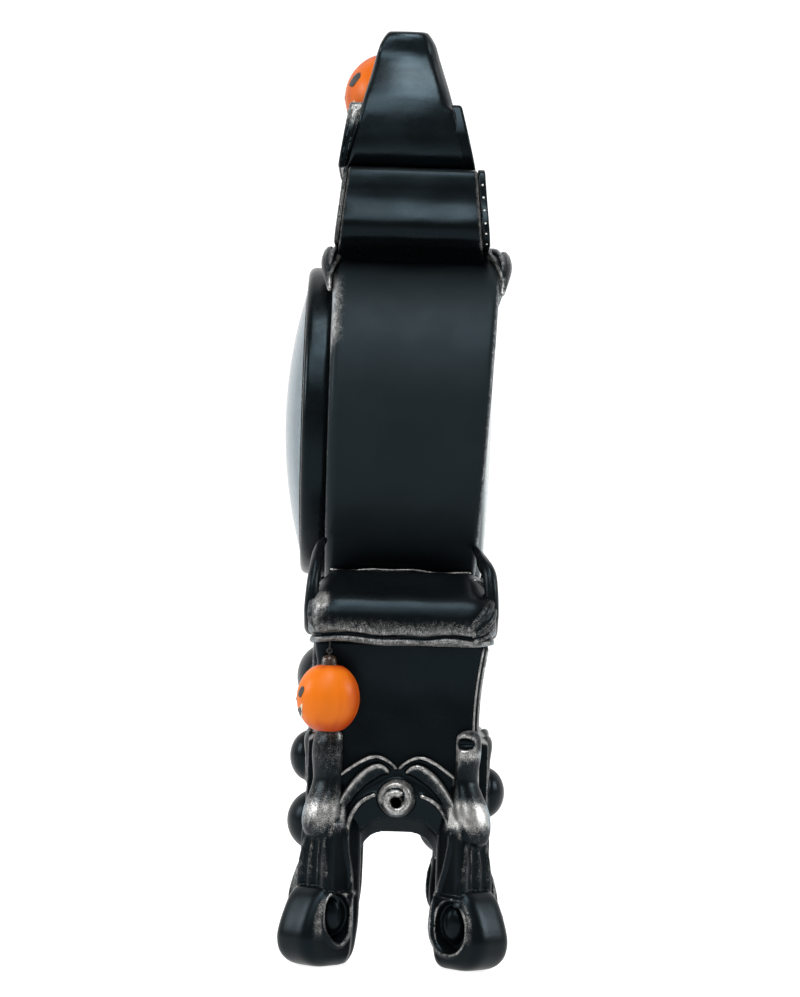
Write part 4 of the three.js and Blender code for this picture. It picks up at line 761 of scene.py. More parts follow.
def strand_rows(points, *channels):
    """Points of a strand, with channels such as its width that run along it."""
    share = np.linspace(0, 1, len(points))
    runs = [np.interp(share, np.linspace(0, 1, len(values)), values) for values in channels]
    return np.column_stack([points, *runs])


def side_strand(points, out, width, height, count):
    """A strand over the side face through points of Y and Z."""
    y, z, out, wide, high = strand_rows(points, out, width, height).T
    return tube(np.column_stack([SIDE_FACE + out, y, z, wide, high]), OUT, count, 8)


def arch_cove():
    """The plate over the arch: its face, then a cove that falls back to the opening."""
    halves = (spline(ARCH, 60), spline(RIDGE_LINE, 60))
    edge, ridge = (np.vstack([half * (-1, 1), half[::-1][1:] * BACK_STRETCH]) for half in halves)
    top = ridge + (0, 3.0)
    lines = [at_side((1 - share) * edge + share * ridge, -fall) for share, fall in COVE]
    lines += [at_side(top, -0.8), at_side(top, APRON_SUNK), at_side(edge, APRON_SUNK)]
    return inside_out(ring_skin(np.stack(lines, axis=1)))


def leaf_plate(side):
    """The ground that the leaves lie on, from the notch to the knee."""
    upper = spline(OUTER_LINE, 40)
    lower = spline([(0.2, 52)] + RIDGE_LINE[::-1][1:5] + [(16.5, 44)], 40)
    rings = []
    for out, drawn in ((APRON_SUNK, 0.0), (-1.4, 0.0), (-0.9, 0.6)):
        ring = np.vstack([upper - (0, drawn), lower[::-1]])
        rings.append(at_side(ring * (side, 1), out))
    skin = ring_skin(rings)
    return skin if side < 0 else inside_out(skin)


def blade(side):
    """A broad scooped leaf that sweeps from the notch out and down into the knee's paw."""
    rise = np.interp(np.linspace(0, 1, 50), (0, 0.3, 0.6, 0.8, 1), (0.5, 1.3, 1.9, 2.6, 2.4))
    rings = []
    for start, end, high in zip(spline(BRIGHT_LINE, 50), spline(LOW_LINE, 50), rise):
        ring = []
        for share, lift in BLADE:
            y, z = start + share * (end - start)
            ring.append((SIDE_FACE + (high * lift if lift > 0 else lift), side * y, z))
        rings.append(ring)
    skin = ring_skin(rings)
    return skin if side > 0 else inside_out(skin)


def rosette():
    """A snail: a strap that winds one and a half turns in to an eye hole below the middle."""
    rows = []
    for share in np.linspace(0, 1, 30):
        turn = math.radians(205 - 520 * share)
        radius = 4.5 - 2.05 * share
        y = radius * math.cos(turn) - 0.3 * share
        z = ROSETTE_Z + radius * math.sin(turn) - 1.1 * share
        rows.append((SIDE_FACE + 0.3 + 1.2 * share, y, z, 1.62 - 0.32 * share, 1.9))
    disc = [(0, -5), (ROSETTE_RADIUS, -5), (ROSETTE_RADIUS, -0.4), (ROSETTE_RADIUS - 0.8, 0.4), (0, 0.7)]
    verts, faces = turned(disc, 48, closed=False)
    across, out, up = verts.T
    plug = np.column_stack([SIDE_FACE + out, across, ROSETTE_Z + up])
    return [tube(rows, OUT, 120, 12), (plug, faces)]


def side_apron_skin():
    """The arch, the rosette with its eye, and on each side a raised line, a ground, a rim and a leaf."""
    skins = [arch_cove()] + rosette()
    for side in (-1, 1):
        stretch = BACK_STRETCH[0] if side > 0 else 1.0
        ridge = [(side * stretch * y, z) for y, z in RIDGE_LINE[:6]]
        outer = [(side * y, z) for y, z in OUTER_LINE]
        skins.append(side_strand(ridge, [2.0, 1.6, 0.6, 0.1], [0.75], [1.0], 60))
        skins.append(leaf_plate(side))
        skins.append(side_strand(outer, [-0.6, 0.2, 0.6, 1.6], [0.5, 0.65, 0.5], [0.7, 1.0, 0.9], 70))
        skins.append(blade(side))
    return cast(skins, 0.34, [egg((SIDE_FACE + 3.0, EYE_Y, EYE_Z), (6.5, 1.75, 1.75))])


def line_distance(y, z, line):
    """How far each place lies from a line that runs on both halves of the side."""
    return np.min(np.hypot(np.abs(y)[:, None] - line[:, 0], z[:, None] - line[:, 1]), axis=1)


def apron_rubbing(skin):
    """Silver over the leaves and along their ridges, down the arch's line and all over the rosette."""
    x, y, z = skin[0].T
    out = x - SIDE_FACE
    sharp = raised(skin, 6, 0.14, 0.02)
    hollow = raised(skin, 6, -0.12)
    disc = np.hypot(y, z - ROSETTE_Z)
    disc = ramp(ROSETTE_RADIUS + 0.4, ROSETTE_RADIUS - 0.2, disc) * ramp(-1, 0.5, out)
    top, low = spline(BRIGHT_LINE, 50), spline(LOW_LINE, 50)
    face = ramp(-0.2, 0.3, out)
    over = face * ramp(3.4, 1.6, line_distance(y, z, 0.5 * (top + low)))
    ridge = face * hump(line_distance(y, z, top + 0.12 * (low - top)), 0, 0.9)
    spread = ramp(4, 14, np.abs(y))
    leaf = (1 - disc) * np.maximum((1 - over) * 0.4 * sharp, over * (0.02 + 0.08 * spread) + 0.32 * ridge)
    eye = ramp(1.3, 2.0, np.hypot(y - EYE_Y, z - EYE_Z))
    coat = disc * (0.28 + 0.24 * sharp - 0.5 * hollow) * eye
    return np.clip(np.maximum(leaf, coat), 0, 1)


apron = side_apron_skin()
pair("side_apron", apron, apron_rubbing(apron))


# Front and back aprons: a scalloped plate with leaves, a shell boss and a pendant

APRON_HALF = 50.0
APRON_TOP = 70.0
APRON_LEAVES = (
    ([(9, 66), (17, 69), (26, 67.8), (35, 63.5), (43, 58)],
     [0.0, 0.2, -0.4], [1.0, 2.2, 0.8], [1.0, 1.6, 0.7]),
    ([(9, 61), (18, 63.8), (26, 62.2), (34, 57.6), (40, 53)],
     [0.0, 0.1, -0.4], [0.8, 1.5, 0.6], [1.0, 1.2, 0.6]),
)
PENDANT_Z = 40.4
PENDANT_HALF = 10.3


def face_strand(points, out, width, height, count, sides):
    """A strand over the front face through points of X and Z."""
    x, z, out, wide, high = strand_rows(points, out, width, height).T
    return tube(np.column_stack([x, -(APRON_FACE + out), z, wide, high]), FRONT, count, sides)


def hoop(middle, half, thick, rows, count, sides):
    """A closed strand round an oval on the front, about a middle of Y and Z."""
    path = []
    for turn in np.linspace(0, 2 * math.pi, rows):
        path.append((half[0] * math.cos(turn), middle[0], middle[1] + half[1] * math.sin(turn), *thick))
    return tube(path, FRONT, count, sides)


def apron_edge(across):
    """Height of the scalloped lower edge."""
    share = np.abs(across) / APRON_HALF
    return 44.5 + 7.0 * np.sin(math.pi * np.clip(share * 1.9, 0, 1)) ** 2 - 2.5 * ramp(0.75, 1.0, share)


def face_apron():
    """The scalloped plate with a raised lower edge, and two leaves on each side."""
    x = np.linspace(-APRON_HALF, APRON_HALF, 120)
    across = np.concatenate([x, x[::-1]])
    rings = []
    for out, drawn in ((-6.0, 0.0), (-1.0, 0.0), (0.0, 0.9)):
        up = np.concatenate([apron_edge(x) + drawn, np.full(len(x), APRON_TOP - drawn)])
        rings.append(np.column_stack([across, np.full(len(up), -(APRON_FACE + out)), up]))
    edge = [(a, apron_edge(a) + 0.6) for a in np.linspace(-APRON_HALF + 1, APRON_HALF - 1, 31)]
    skins = [ring_skin(rings), face_strand(edge, [0.0], [0.8], [1.0], 160, 8)]
    for side in (-1, 1):
        for line, *channels in APRON_LEAVES:
            skins.append(face_strand([(side * a, b) for a, b in line], *channels, 70, 12))
    return skins


def shell_boss(up):
    """A smooth dome over the apron's middle, with a fold round its foot."""
    fold = hoop((-APRON_FACE - 0.2, up), (8.6, 8.4), (1.0, 1.2), 33, 90, 10)
    return [egg((0, -APRON_FACE, up), (8.4, 6.8, 8.4)), fold]


def pendant(y):
    """A round drop with a small tip, under the apron's middle."""
    drop = egg((0, y, PENDANT_Z), 3 * (PENDANT_HALF,), 64, 40)
    tip = egg((0, y, PENDANT_Z - PENDANT_HALF + 0.9), (2.2, 2.2, 1.0))
    return cast([drop, tip])


def pendant_rubbing(skin):
    """Silver on sharp ridges and on the tops of broad swells."""
    return 0.2 * np.maximum(raised(skin, 6, 0.3, 0.05), 0.9 * raised(skin, 45, 1.6, 0.35))


def cartouche():
    """A plain oval dome in a raised frame, low on the front of the body."""
    up, half_x, half_z = 87.4, 17.0, 12.6
    dome = egg((0, -BODY_HALF_Y, up), (half_x - 2.2, 8.6, half_z - 2.2), 64, 40)
    rim = hoop((-BODY_HALF_Y - 1.4, up), (half_x - 1.6, half_z - 1.6), (1.6, 2.2), 49, 150, 12)
    return cast([dome, rim])


for place, boss_z, pendant_y in (("front", 61.4, -25.2), ("back", 51.0, 17.5)):
    plate = cast(face_apron() + shell_boss(boss_z))
    plate_wear = 0.2 * raised(plate, 6, 0.16, 0.03)
    casting(f"{place}_apron", plate if place == "front" else mirrored(plate, 1), plate_wear)
    ball = pendant(pendant_y)
    casting(f"{place}_pendant", ball, pendant_rubbing(ball))
oval = cartouche()
casting("front_cartouche", oval, 0.4 * raised(oval, 6, 0.16, 0.03))


# Lower body: a waisted block with a back panel let in between two raised lines

def body_flare(up):
    """How far the block widens at a height, from its waist to the bolster."""
    share = np.clip((up - BODY_BOTTOM) / (BODY_TOP - BODY_BOTTOM), 0, 1)
    return 2.2 * ramp(0.55, 1.05, share) ** 1.3 + 0.3 * ramp(0.2, 0.0, share)


def lower_body():
    rings = []
    for up in np.linspace(BODY_BOTTOM, BODY_TOP, 46):
        half_x, half_y = BODY_HALF_X + body_flare(up), BODY_HALF_Y + body_flare(up)
        rings.append(oblong(-half_x, half_x, half_y, 2.6, 10, 260, up))
    return ring_skin(rings)


def back_panel_lines(side):
    """Two thin lines up the back corner that sway a little, as if drawn by hand."""
    made = []
    for from_back, out in ((1.4, -0.1), (0.1, -0.3)):
        rows = []
        for up in np.linspace(50, BODY_TOP - 0.5, 14):
            sway = 0.12 * math.sin(0.31 * up) + 0.1 * math.sin(0.13 * up + 1)
            x = side * (BODY_HALF_X + body_flare(up) + out)
            rows.append((x, BODY_HALF_Y + body_flare(up) - from_back + sway, up, 0.36, 0.36))
        made.append(tube(rows, OUT, 60, 8))
    return made


casting("lower_body", uneven(lower_body(), 0.05), 0.0)
for hand, side in HANDS:
    piece(f"back_panel_lines_{hand}", back_panel_lines(side), RESIN, wear=0.36)


# Bolster: a cushion roll over a double lip, with a rope-like turn at each back corner

BOLSTER_HALF_X = 73.0
BOLSTER_HALF_Y = 29.4
BOLSTER_TOP = 123.0
BOLSTER_CORNER = 9.0
DRAWN_SHARE = 0.62
# Height, and how far the ends and the faces are drawn in there
CUSHION = [(100.9, 3.2, 3.2), (101.1, 1.6, 1.6), (101.9, 0.9, 0.9), (102.8, 1.3, 1.3), (103.3, 2.0, 2.0),
           (103.8, 1.5, 1.5), (104.7, 0.4, 0.4), (106.2, 0.2, 0.2), (108.4, 0.3, 0.2), (110.4, 0.6, 0.25),
           (112.2, 1.2, 0.5), (113.6, 2.0, 0.9), (114.9, 3.2, 1.4), (116.1, 4.9, 2.1), (117.3, 7.2, 3.2),
           (118.8, 10.2, 4.8), (120.6, 13.4, 7.4), (122.2, 16.2, 10.4), (123.0, 18, 13.5)]
# Three turns of leaf edge round the back corner and one down the front corner, as y, z and half width
ROPE = (
    [(21.5, 121.4, 0.7), (25.8, 119.0, 1.4), (27.4, 116.0, 1.7), (26.2, 112.5, 1.7), (23.6, 108.8, 1.5),
     (20.4, 105.6, 0.8)],
    [(28.6, 113, 0.8), (27.6, 110.4, 1.5), (25.0, 107, 1.6), (21.6, 103.9, 0.8)],
    [(28.2, 107, 0.7), (26.2, 104.8, 1.2), (22.4, 102.4, 0.7)],
    [(-27.2, 119.5, 0.6), (-28.0, 114, 1.2), (-28.0, 108, 1.3), (-25.5, 104.2, 0.7)],
)


def bolster():
    """The cushion roll, with slow waves in its lips."""
    rings = []
    for up, drawn_x, drawn_y in by_height(CUSHION, 70):
        half_x, half_y = BOLSTER_HALF_X - drawn_x, BOLSTER_HALF_Y - DRAWN_SHARE * drawn_y
        ring = oblong(-half_x, half_x, half_y, BOLSTER_CORNER, 14, 320, up)
        x, y = ring[:, 0], ring[:, 1]
        low = 1 - ramp(103, 109, up)
        ring[:, 2] += low * (0.25 * np.sin(0.21 * y + 0.09 * x) + 0.15 * np.sin(0.5 * y))
        rings.append(ring)
    return ring_skin(rings)


def bolster_rubbing(skin):
    """Silver on the lips, fading up the roll, and on the end corners, and low on each end's front a silver
    patch that is partly a painted highlight.
    """
    x, y, z = skin[0].T
    ends = np.abs(x)
    lip = 1 - ramp(103.5, 111.5, z)
    corner = ramp(20.5, 28, np.abs(y)) * ramp(40, 70, ends) * ramp(121.5, 115, z) * np.where(y < 0, 1, 0.4)
    # Silver laid low on the front of each end, partly as a painted highlight.
    painted_glint = hump(y, -25, 2.2) * hump(z, 114, 2.6) * ramp(60, 68, ends)
    groove = hump(z, 103.4, 0.45)
    return np.clip(np.maximum(0.24 * lip, 0.2 * corner + 0.3 * painted_glint) - 0.6 * groove, 0, 1)


def swaying(skin):
    """The lips rise and fall a little along the ends, as if pressed by hand."""
    x, y, z = skin[0].T
    sway = 0.35 * np.sin(0.17 * y + 0.05 * x + 1.0) + 0.2 * np.sin(0.41 * y - 0.06 * x)
    return np.column_stack([x, y, z + sway * (1 - ramp(104, 112, z))]), skin[1]


def cushion_end(y, z):
    """How far out the cushion's end lies at a place across it and a height."""
    heights, drawn_x, drawn_y = zip(*CUSHION)
    half_y = BOLSTER_HALF_Y - DRAWN_SHARE * np.interp(z, heights, drawn_y)
    turn = np.clip((abs(y) - half_y + BOLSTER_CORNER) / BOLSTER_CORNER, 0, 0.98)
    return BOLSTER_HALF_X - np.interp(z, heights, drawn_x) - BOLSTER_CORNER * (1 - math.sqrt(1 - turn * turn))


def rope_turns(side):
    """The turns of leaf edge that lie on the cushion's end."""
    made = []
    for path in ROPE:
        rows = [(side * cushion_end(y, z), y, z, wide, 0.85 * wide) for y, z, wide in path]
        made.append(tube(rows, (side, 0, 0), 44, 10))
    return cast(made, 0.3)


def joint_line(side):
    """The wavy bead of filler where the drum meets the cushion."""
    rows = []
    for y in np.linspace(-23.5, 21.5, 24):
        sway = 0.35 * math.sin(0.19 * y + 2.0) + 0.2 * math.sin(0.43 * y)
        rows.append((side * 35.0, y, BOLSTER_TOP + 0.15 + sway, 0.45, 0.45))
    return tube(rows, UP, 90, 8)


cushion = bolster()
casting("bolster", uneven(swaying(cushion), 0.08), bolster_rubbing(cushion))
for hand, side in HANDS:
    turns = rope_turns(side)
    turns_wear = 0.04 + 0.3 * raised(turns, 8, 0.25)
    piece(f"bolster_rope_{hand}", [turns], RESIN, wear=turns_wear)
    piece(f"bolster_joint_{hand}", [joint_line(side)], RESIN, wear=0.4)


# Volutes of the bolster: a spiral on the face with a tail that rises beside the drum

FRONT_TAIL = [(63.4, -28.2, 118.5, 2.7, 2.0), (59.5, -27.6, 124, 2.7, 1.9), (54, -27.2, 128.2, 2.2, 1.6),
              (48.8, -26.2, 131.2, 1.6, 1.2), (44.2, -24.8, 132.8, 0.9, 0.8)]
BACK_TAIL = [(63.6, 27.4, 118.5, 2.8, 2.2), (61.5, 26.6, 123.4, 2.8, 2.2), (56.5, 24.9, 126.4, 2.5, 2.0),
             (50.5, 24.0, 128.4, 1.9, 1.5), (45.6, 22.8, 130.4, 1.4, 1.1), (42.0, 21.8, 131.4, 0.9, 0.8)]


def volute(normal, y, tail):
    """A spiral that winds out from its eye and runs on into a tail."""
    rows = []
    for share in np.linspace(0, 1, 22):
        turn = 2 * math.pi * 1.4 * (share - 1)
        radius = 1.5 + 6.5 * share
        x, z = 56 + radius * math.cos(turn), 112 + radius * math.sin(turn)
        rows.append((x, y, z, 1.5 + 1.1 * share, 1.3 + 0.9 * share))
    return tube(rows + tail, normal, 130, 14, (0.8, 2.5))


front_volute = volute(FRONT, -BOLSTER_HALF_Y + 0.9, FRONT_TAIL)
back_volute = volute(BACK, BOLSTER_HALF_Y - 1.6, BACK_TAIL)
for place, scroll in (("front", front_volute), ("back", back_volute)):
    pair(f"scroll_{place}", scroll, 0.06 + 0.34 * raised(scroll, 10, 0.4))


# Drum: a deep turned ring whose back leans, with leaf sprays at its upper corners

BORE = 48.0
COVER_RADIUS = 50.0
COVER_GAP = 0.3
COVER_SEAT = 19.2
# Each blade as an angle on the drum, a radius, a reach out of its edge, half width and half height
SPRAY = (
    [(76, 56.0, 1.0, 1.2, 1.0), (70, 57.0, 1.9, 2.6, 1.7), (62, 57.0, 2.2, 2.8, 1.8),
     (54, 56.4, 1.6, 2.0, 1.3), (47, 55.6, 0.9, 0.7, 0.6)],
    [(74, 58.6, -1.8, 0.8, 0.8), (67, 59.2, -0.4, 1.5, 1.2), (60, 58.8, 0.8, 1.5, 1.2),
     (54, 57.6, 1.4, 0.8, 0.7)],
    [(69, 59.0, -3.4, 0.6, 0.6), (63, 59.2, -1.8, 1.1, 0.9), (57, 58.4, 0.2, 1.0, 0.9),
     (52, 57.2, 1.2, 0.5, 0.5)],
    [(72, 53.2, 0.6, 0.7, 0.7), (64, 53.6, 1.6, 1.5, 1.1), (56, 53.6, 1.4, 1.2, 0.9),
     (50, 54.4, 0.8, 0.5, 0.5)],
)


def drum():
    """The ring with rounded edges and a seat for the rear cover; it leans more towards its back."""
    edge, back_edge = 3.6, 2.2
    radius, depth = DRUM_RADIUS, DRUM_DEPTH
    opening = COVER_RADIUS + COVER_GAP
    profile = [(BORE, -depth)] + arc((radius - edge, -depth + edge), edge, -90, 0)
    profile += [(radius, y) for y in np.linspace(-depth + edge, depth - back_edge, 30)[1:-1]]
    profile += arc((radius - back_edge, depth - back_edge), back_edge, 0, 90)
    profile += [(opening, depth), (opening, COVER_SEAT), (BORE, COVER_SEAT)]
    verts, faces = turned(profile, 180)
    verts[:, 1] += ramp(-depth + 6, depth, verts[:, 1]) * verts[:, 2] * DRUM_LEAN
    verts[:, 2] += DRUM_Z
    return inside_out((verts, faces))


def drum_rubbing(skin):
    """Silver in a patch high on the front, and in a line along the back edge and the front edge."""
    x, y, z = skin[0].T
    up = z - DRUM_Z
    radius = np.hypot(x, up)
    rise = up / DRUM_RADIUS
    patch = ramp(-19.5, -25.5, y) * ramp(0.3, 0.5, rise) * ramp(0.88, 0.7, rise)
    back_line = ramp(1.6, 0.2, DRUM_DEPTH + up * DRUM_LEAN - y) * (radius > 54)
    front_line = ramp(0.9, 0.1, y + DRUM_DEPTH) * (radius > 55.2)
    return np.clip(0.3 * patch + 0.24 * back_line + 0.18 * front_line, 0, 0.8)


def leaf_spray(sign, edge):
    """Curled blades that hang over the drum's edge from under the band."""
    skins = []
    for blade_rows in SPRAY:
        rows = []
        for degrees, radius, out, wide, high in blade_rows:
            turn = math.radians(degrees)
            x, z = radius * math.cos(turn), DRUM_Z + radius * math.sin(turn)
            rows.append((x, sign * (edge + out), z, wide, high))
        skins.append(tube(rows, (0, sign, 0.35), 40, 10))
    return cast(skins, 0.32)


shell = uneven(drum(), 0.03)
# The drum takes the resin copy whose black is painted lighter, as painted light.
casting("drum", shell, drum_rubbing(shell), RESIN_SATIN_LIT)
for place, sign, edge in (("front", -1, DRUM_DEPTH), ("back", 1, DRUM_DEPTH + 42 * DRUM_LEAN)):
    spray = leaf_spray(sign, edge)
    pair(f"leaf_{place}", spray, 0.55 * raised(spray, 8, 0.3))


# Band and crest: outlines in X and Z, given depth between a front and a back that lean

BAND_Z = 226.8
BAND_HEIGHT = 24.8
BAND_HALF = 42.5
BAND_OUTLINE = [(0.80, 1.0), (0.86, 0.975), (0.89, 0.92), (0.905, 0.8), (0.912, 0.68), (0.924, 0.56),
                (0.948, 0.46), (0.978, 0.37), (0.996, 0.28), (0.992, 0.18), (0.955, 0.07), (0.88, 0.0),
                (0.72, -0.08), (0.65, -0.2), (0.60, -0.42)]
BAND_LIFT = 0.2
CREST_Z = 251.6
CREST_OUTLINE = [(0, 38), (6, 38.6), (9.5, 41.5), (12, 44.9), (15.5, 45.2), (18.8, 44.9), (20.4, 43.3),
                 (20.8, 40), (21.1, 37.4), (22.3, 34.4), (24.7, 30.8), (27.4, 26.7), (29.2, 22.8), (30.4, 18),
                 (30.9, 13), (31, 9), (30.2, 5), (28, 1.2), (25.5, 0)]
CREST_PLATE_TOP = [(0, 21.4), (20, 21.4), (25.0, 21.2), (28.0, 20.2)]
BEVEL = 3.0
LANTERN_UP = 25.4
LANTERN_FORWARD = 7.5
CREST_LANTERN_RADIUS = 16.5


def leaning(base, at, slope):
    """A face as its y at each height: at where the height is base, and changing by slope above it."""
    def face(z):
        return at + slope * (z - base)
    return face


band_front = leaning(BAND_Z, -24.0, 0.1)
band_back = leaning(BAND_Z, 21.9, -0.1)
crest_front = leaning(CREST_Z, -23.0, 0.245)
crest_back = leaning(CREST_Z, 17.6, -0.3)
BAND_PLATES = (("front", band_front, -1, 1.3, 0.4, 0.2), ("back", band_back, 1, 2.2, 1.1, 0.06))
CREST_PLATES = (("front", crest_front, -1, (2.2, 0.09, 0.6), 0.5, 0.24),
                ("back", crest_back, 1, (1.6, 0.05, 3.6), 0.1, 0.04))


def full_outline(half, count):
    """A closed outline from its right half, run from the top down, with its mirror image."""
    right = spline(half, 90)
    whole = np.vstack([right, right[::-1] * (-1, 1)])[::-1]
    return resampled(whole, count)


def band_outline(grow=0.0, low=-0.42):
    half = [(x * BAND_HALF + grow, BAND_Z + up * BAND_HEIGHT) for x, up in BAND_OUTLINE if up >= low]
    return full_outline(half, 360)


def band_rubbing(skin):
    """Silver along the back and front edges, at the ends."""
    x, y, z = skin[0].T
    edges = 0.26 * ramp(1.6, 0.2, band_back(z) - y) + 0.24 * ramp(1.2, 0.1, y - band_front(z))
    return edges * ramp(33, 36, np.abs(x))


def face_plate(outline, under, outer, sign, edge, layers):
    """A plate on the front or the back, from its underside to its outer side."""
    sides = (outer, under) if sign < 0 else (under, outer)
    return slab(outline, *sides, edge, layers)


def band_plate(inner, sign, thick, grow):
    def under(z):
        return inner(z) + sign * BAND_LIFT

    def outer(z):
        return inner(z) + sign * (BAND_LIFT + thick)

    return face_plate(band_outline(grow, -0.05), under, outer, sign, 0.5, 4)


def bead_row():
    """White dots let into the back plate's edge, up both ends."""
    ends, heights = (np.array(column)[::-1] for column in zip(*BAND_OUTLINE))
    skins = []
    for up in (0.04, 0.16, 0.29, 0.46, 0.63, 0.79):
        x = BAND_HALF * np.interp(up, heights, ends) + 1.05
        z = BAND_Z + up * BAND_HEIGHT
        for side in (-1, 1):
            skins.append(egg((side * x, band_back(z) + 1.25, z), (0.4, 0.36, 0.36), 12, 8))
    return skins


def crest_skin():
    """The crest, drawn in at its top and bevelled at its back, with a hole for the lantern."""
    outline = full_outline([(x, CREST_Z + up) for x, up in CREST_OUTLINE], 300)
    verts, faces = slab(outline, crest_front, crest_back, 1.6, 24, 1.2)
    x, y, z = verts.T
    up = z - CREST_Z
    middle = (crest_front(z) + crest_back(z)) / 2
    y = middle + (y - middle) * (1 - 0.14 * ramp(40, 45.4, up))
    bevel = np.clip((y - crest_back(z) + BEVEL) / BEVEL, 0, 1) * ramp(19, 21, up)
    verts = np.column_stack([x - np.sign(x) * BEVEL * bevel, y, z])
    front, back, radius = -60.0, 2.0, CREST_LANTERN_RADIUS + 0.6
    profile = [(0, front), (radius, front), (radius, back), (0, back)]
    hole = turned(profile, 72, (0, 0, CREST_Z + LANTERN_UP), closed=False)
    return cast([(verts, faces)], 0.5, [inside_out(hole)])


def crest_plate(inner, sign, depths, grow):
    thick, spread, sunk = depths

    def under(z):
        return inner(z) - sign * sunk

    def outer(z):
        return inner(z) + sign * (thick + spread * (z - CREST_Z))

    half = CREST_PLATE_TOP + [(x + grow, up) for x, up in CREST_OUTLINE if up < 17.6]
    outline = full_outline([(x, CREST_Z + up) for x, up in half], 260)
    return face_plate(outline, under, outer, sign, 0.9, 5)


band = uneven(slab(band_outline(), band_front, band_back, 1.0, 24, 0.5), 0.08)
casting("band", band, band_rubbing(band))
for place, inner, sign, thick, grow, rub in BAND_PLATES:
    plate = band_plate(inner, sign, thick, grow)
    casting(f"band_{place}_plate", plate, rub * ramp(34, 40, np.abs(plate[0][:, 0])))
piece("band_beads", bead_row(), BEAD_WHITE)

crest = uneven(crest_skin(), 0.05)
casting("crest", crest, 0.2 * raised(crest, 8, 0.5), RESIN_GLOSS)
for place, inner, sign, depths, grow, rub in CREST_PLATES:
    plate = crest_plate(inner, sign, depths, grow)
    x, y, z = plate[0].T
    casting(f"crest_{place}_plate", plate, rub * ramp(22, 27, np.abs(x)) * ramp(8, 19, z - CREST_Z))


# Lanterns: carved gourds with a stem and a plain cut face

LOBES = 8
# Height up the stem and width there, as shares
STEM = [(0.0, 1.1), (0.25, 1.0), (0.6, 0.98), (0.85, 0.82), (1.0, 0.45)]
EYE_TOP = [(0.32, -0.06), (0.42, 0.12), (0.54, 0.16), (0.62, 0.06)]
EYE_LOW = [(0.32, -0.08), (0.42, -0.13), (0.54, -0.13), (0.62, 0.04)]
NOSE_TOP = [(-0.07, -0.06), (0, 0.08), (0.07, -0.06)]
NOSE_LOW = [(-0.07, -0.08), (0, -0.1), (0.07, -0.08)]
GRIN_TOP = [(-0.56, -0.16), (-0.34, -0.30), (0, -0.36), (0.34, -0.30), (0.56, -0.16)]
GRIN_LOW = [(-0.56, -0.18), (-0.36, -0.46), (0, -0.58), (0.36, -0.46), (0.56, -0.18)]


class Gourd:
    """A ribbed gourd of some radius and half height about a centre."""

    def __init__(self, centre, radius, half_height):
        self.centre = np.array(centre, float)
        self.radius = radius
        self.half_height = half_height

    def point(self, turn, polar, out=0.0):
        """The surface at a turn about Z and an angle from the bottom, out by some millimetres."""
        dip = 1 - 0.1 * hump(np.sin(polar), 0, 0.33)
        groove = np.abs(np.cos(LOBES * turn / 2)) ** 0.7
        ring = (self.radius * (0.992 + 0.008 * groove) + out) * np.sin(polar)
        up = -(self.half_height * dip + out) * np.cos(polar)
        return np.stack([ring * np.cos(turn), ring * np.sin(turn), up], axis=-1) + self.centre

    def skin(self):
        turn = circle(96)
        polars = np.linspace(0.03, math.pi - 0.03, 56)
        return ring_skin([self.point(turn, np.full(len(turn), polar)) for polar in polars])

    def shade(self, verts):
        """Painted shade at the stem, under the gourd and at its back, and darker orange in the ribs' grooves.
        """
        x, y, z = (verts - self.centre).T
        groove = 1 - np.abs(np.cos(LOBES * np.arctan2(y, x) / 2)) ** 0.6
        rise = z / self.half_height
        ends = ramp(-0.35, -1.0, rise) + ramp(0.7, 1.0, rise)
        return 0.12 * groove + 0.75 * ends + 0.55 * ramp(0.1, 1.0, y / self.radius)

    def patch(self, upper, lower, out=0.12, count=(22, 6)):
        """A painted shape on the dial side between two lines of across and up, each from -1 to 1."""
        share = np.linspace(0, 1, count[1])[:, None, None]
        lines = share * spline(upper, count[0]) + (1 - share) * spline(lower, count[0])
        across, up = lines[..., 0], lines[..., 1]
        polar = np.arccos(np.clip(-up, -0.98, 0.98))
        turn = -math.pi / 2 + np.arcsin(np.clip(across / np.maximum(np.sin(polar), 0.2), -0.98, 0.98))
        layers = zip(self.point(turn, polar, out), self.point(turn, polar, -0.5))
        return ring_skin([np.vstack([top, under[::-1]]) for top, under in layers])


def stem_skin(centre, radius, height):
    """A short ridged stem that starts a little inside the gourd."""
    turn = circle(24)
    rows = [(-1.5, 1.15)] + [(share * height, wide) for share, wide in STEM]
    rings = []
    for up, wide in rows:
        ridged = radius * wide * (1 + 0.05 * np.cos(5 * turn))
        ring = np.column_stack([ridged * np.cos(turn), ridged * np.sin(turn), np.full(len(turn), up)])
        rings.append(ring + centre)
    return ring_skin(rings)


def gourd_face(gourd, eye):
    """Slit eyes, a small nose and a grin with a pale rim, as anyone cuts them."""
    dark = []
    for side in (-1, 1):
        lids = ([(side * a, eye + b) for a, b in lid] for lid in (EYE_TOP, EYE_LOW))
        dark.append(gourd.patch(*lids))
    dark.append(gourd.patch(NOSE_TOP, NOSE_LOW))
    for i in range(6):
        left = -0.46 + 0.157 * i
        across = (left, left + 0.065, left + 0.13)
        top = [(a, -0.33 + 0.42 * a * a) for a in across]
        low = [(a, -0.54 + 0.86 * a * a) for a in across]
        dark.append(gourd.patch(top, low, 0.14, (8, 5)))
    rim_top = [(a * 1.03, b + 0.02) for a, b in GRIN_TOP]
    rim_low = [(a * 1.03, b - 0.02) for a, b in GRIN_LOW]
    return dark, [gourd.patch(rim_top, rim_low, 0.08)]


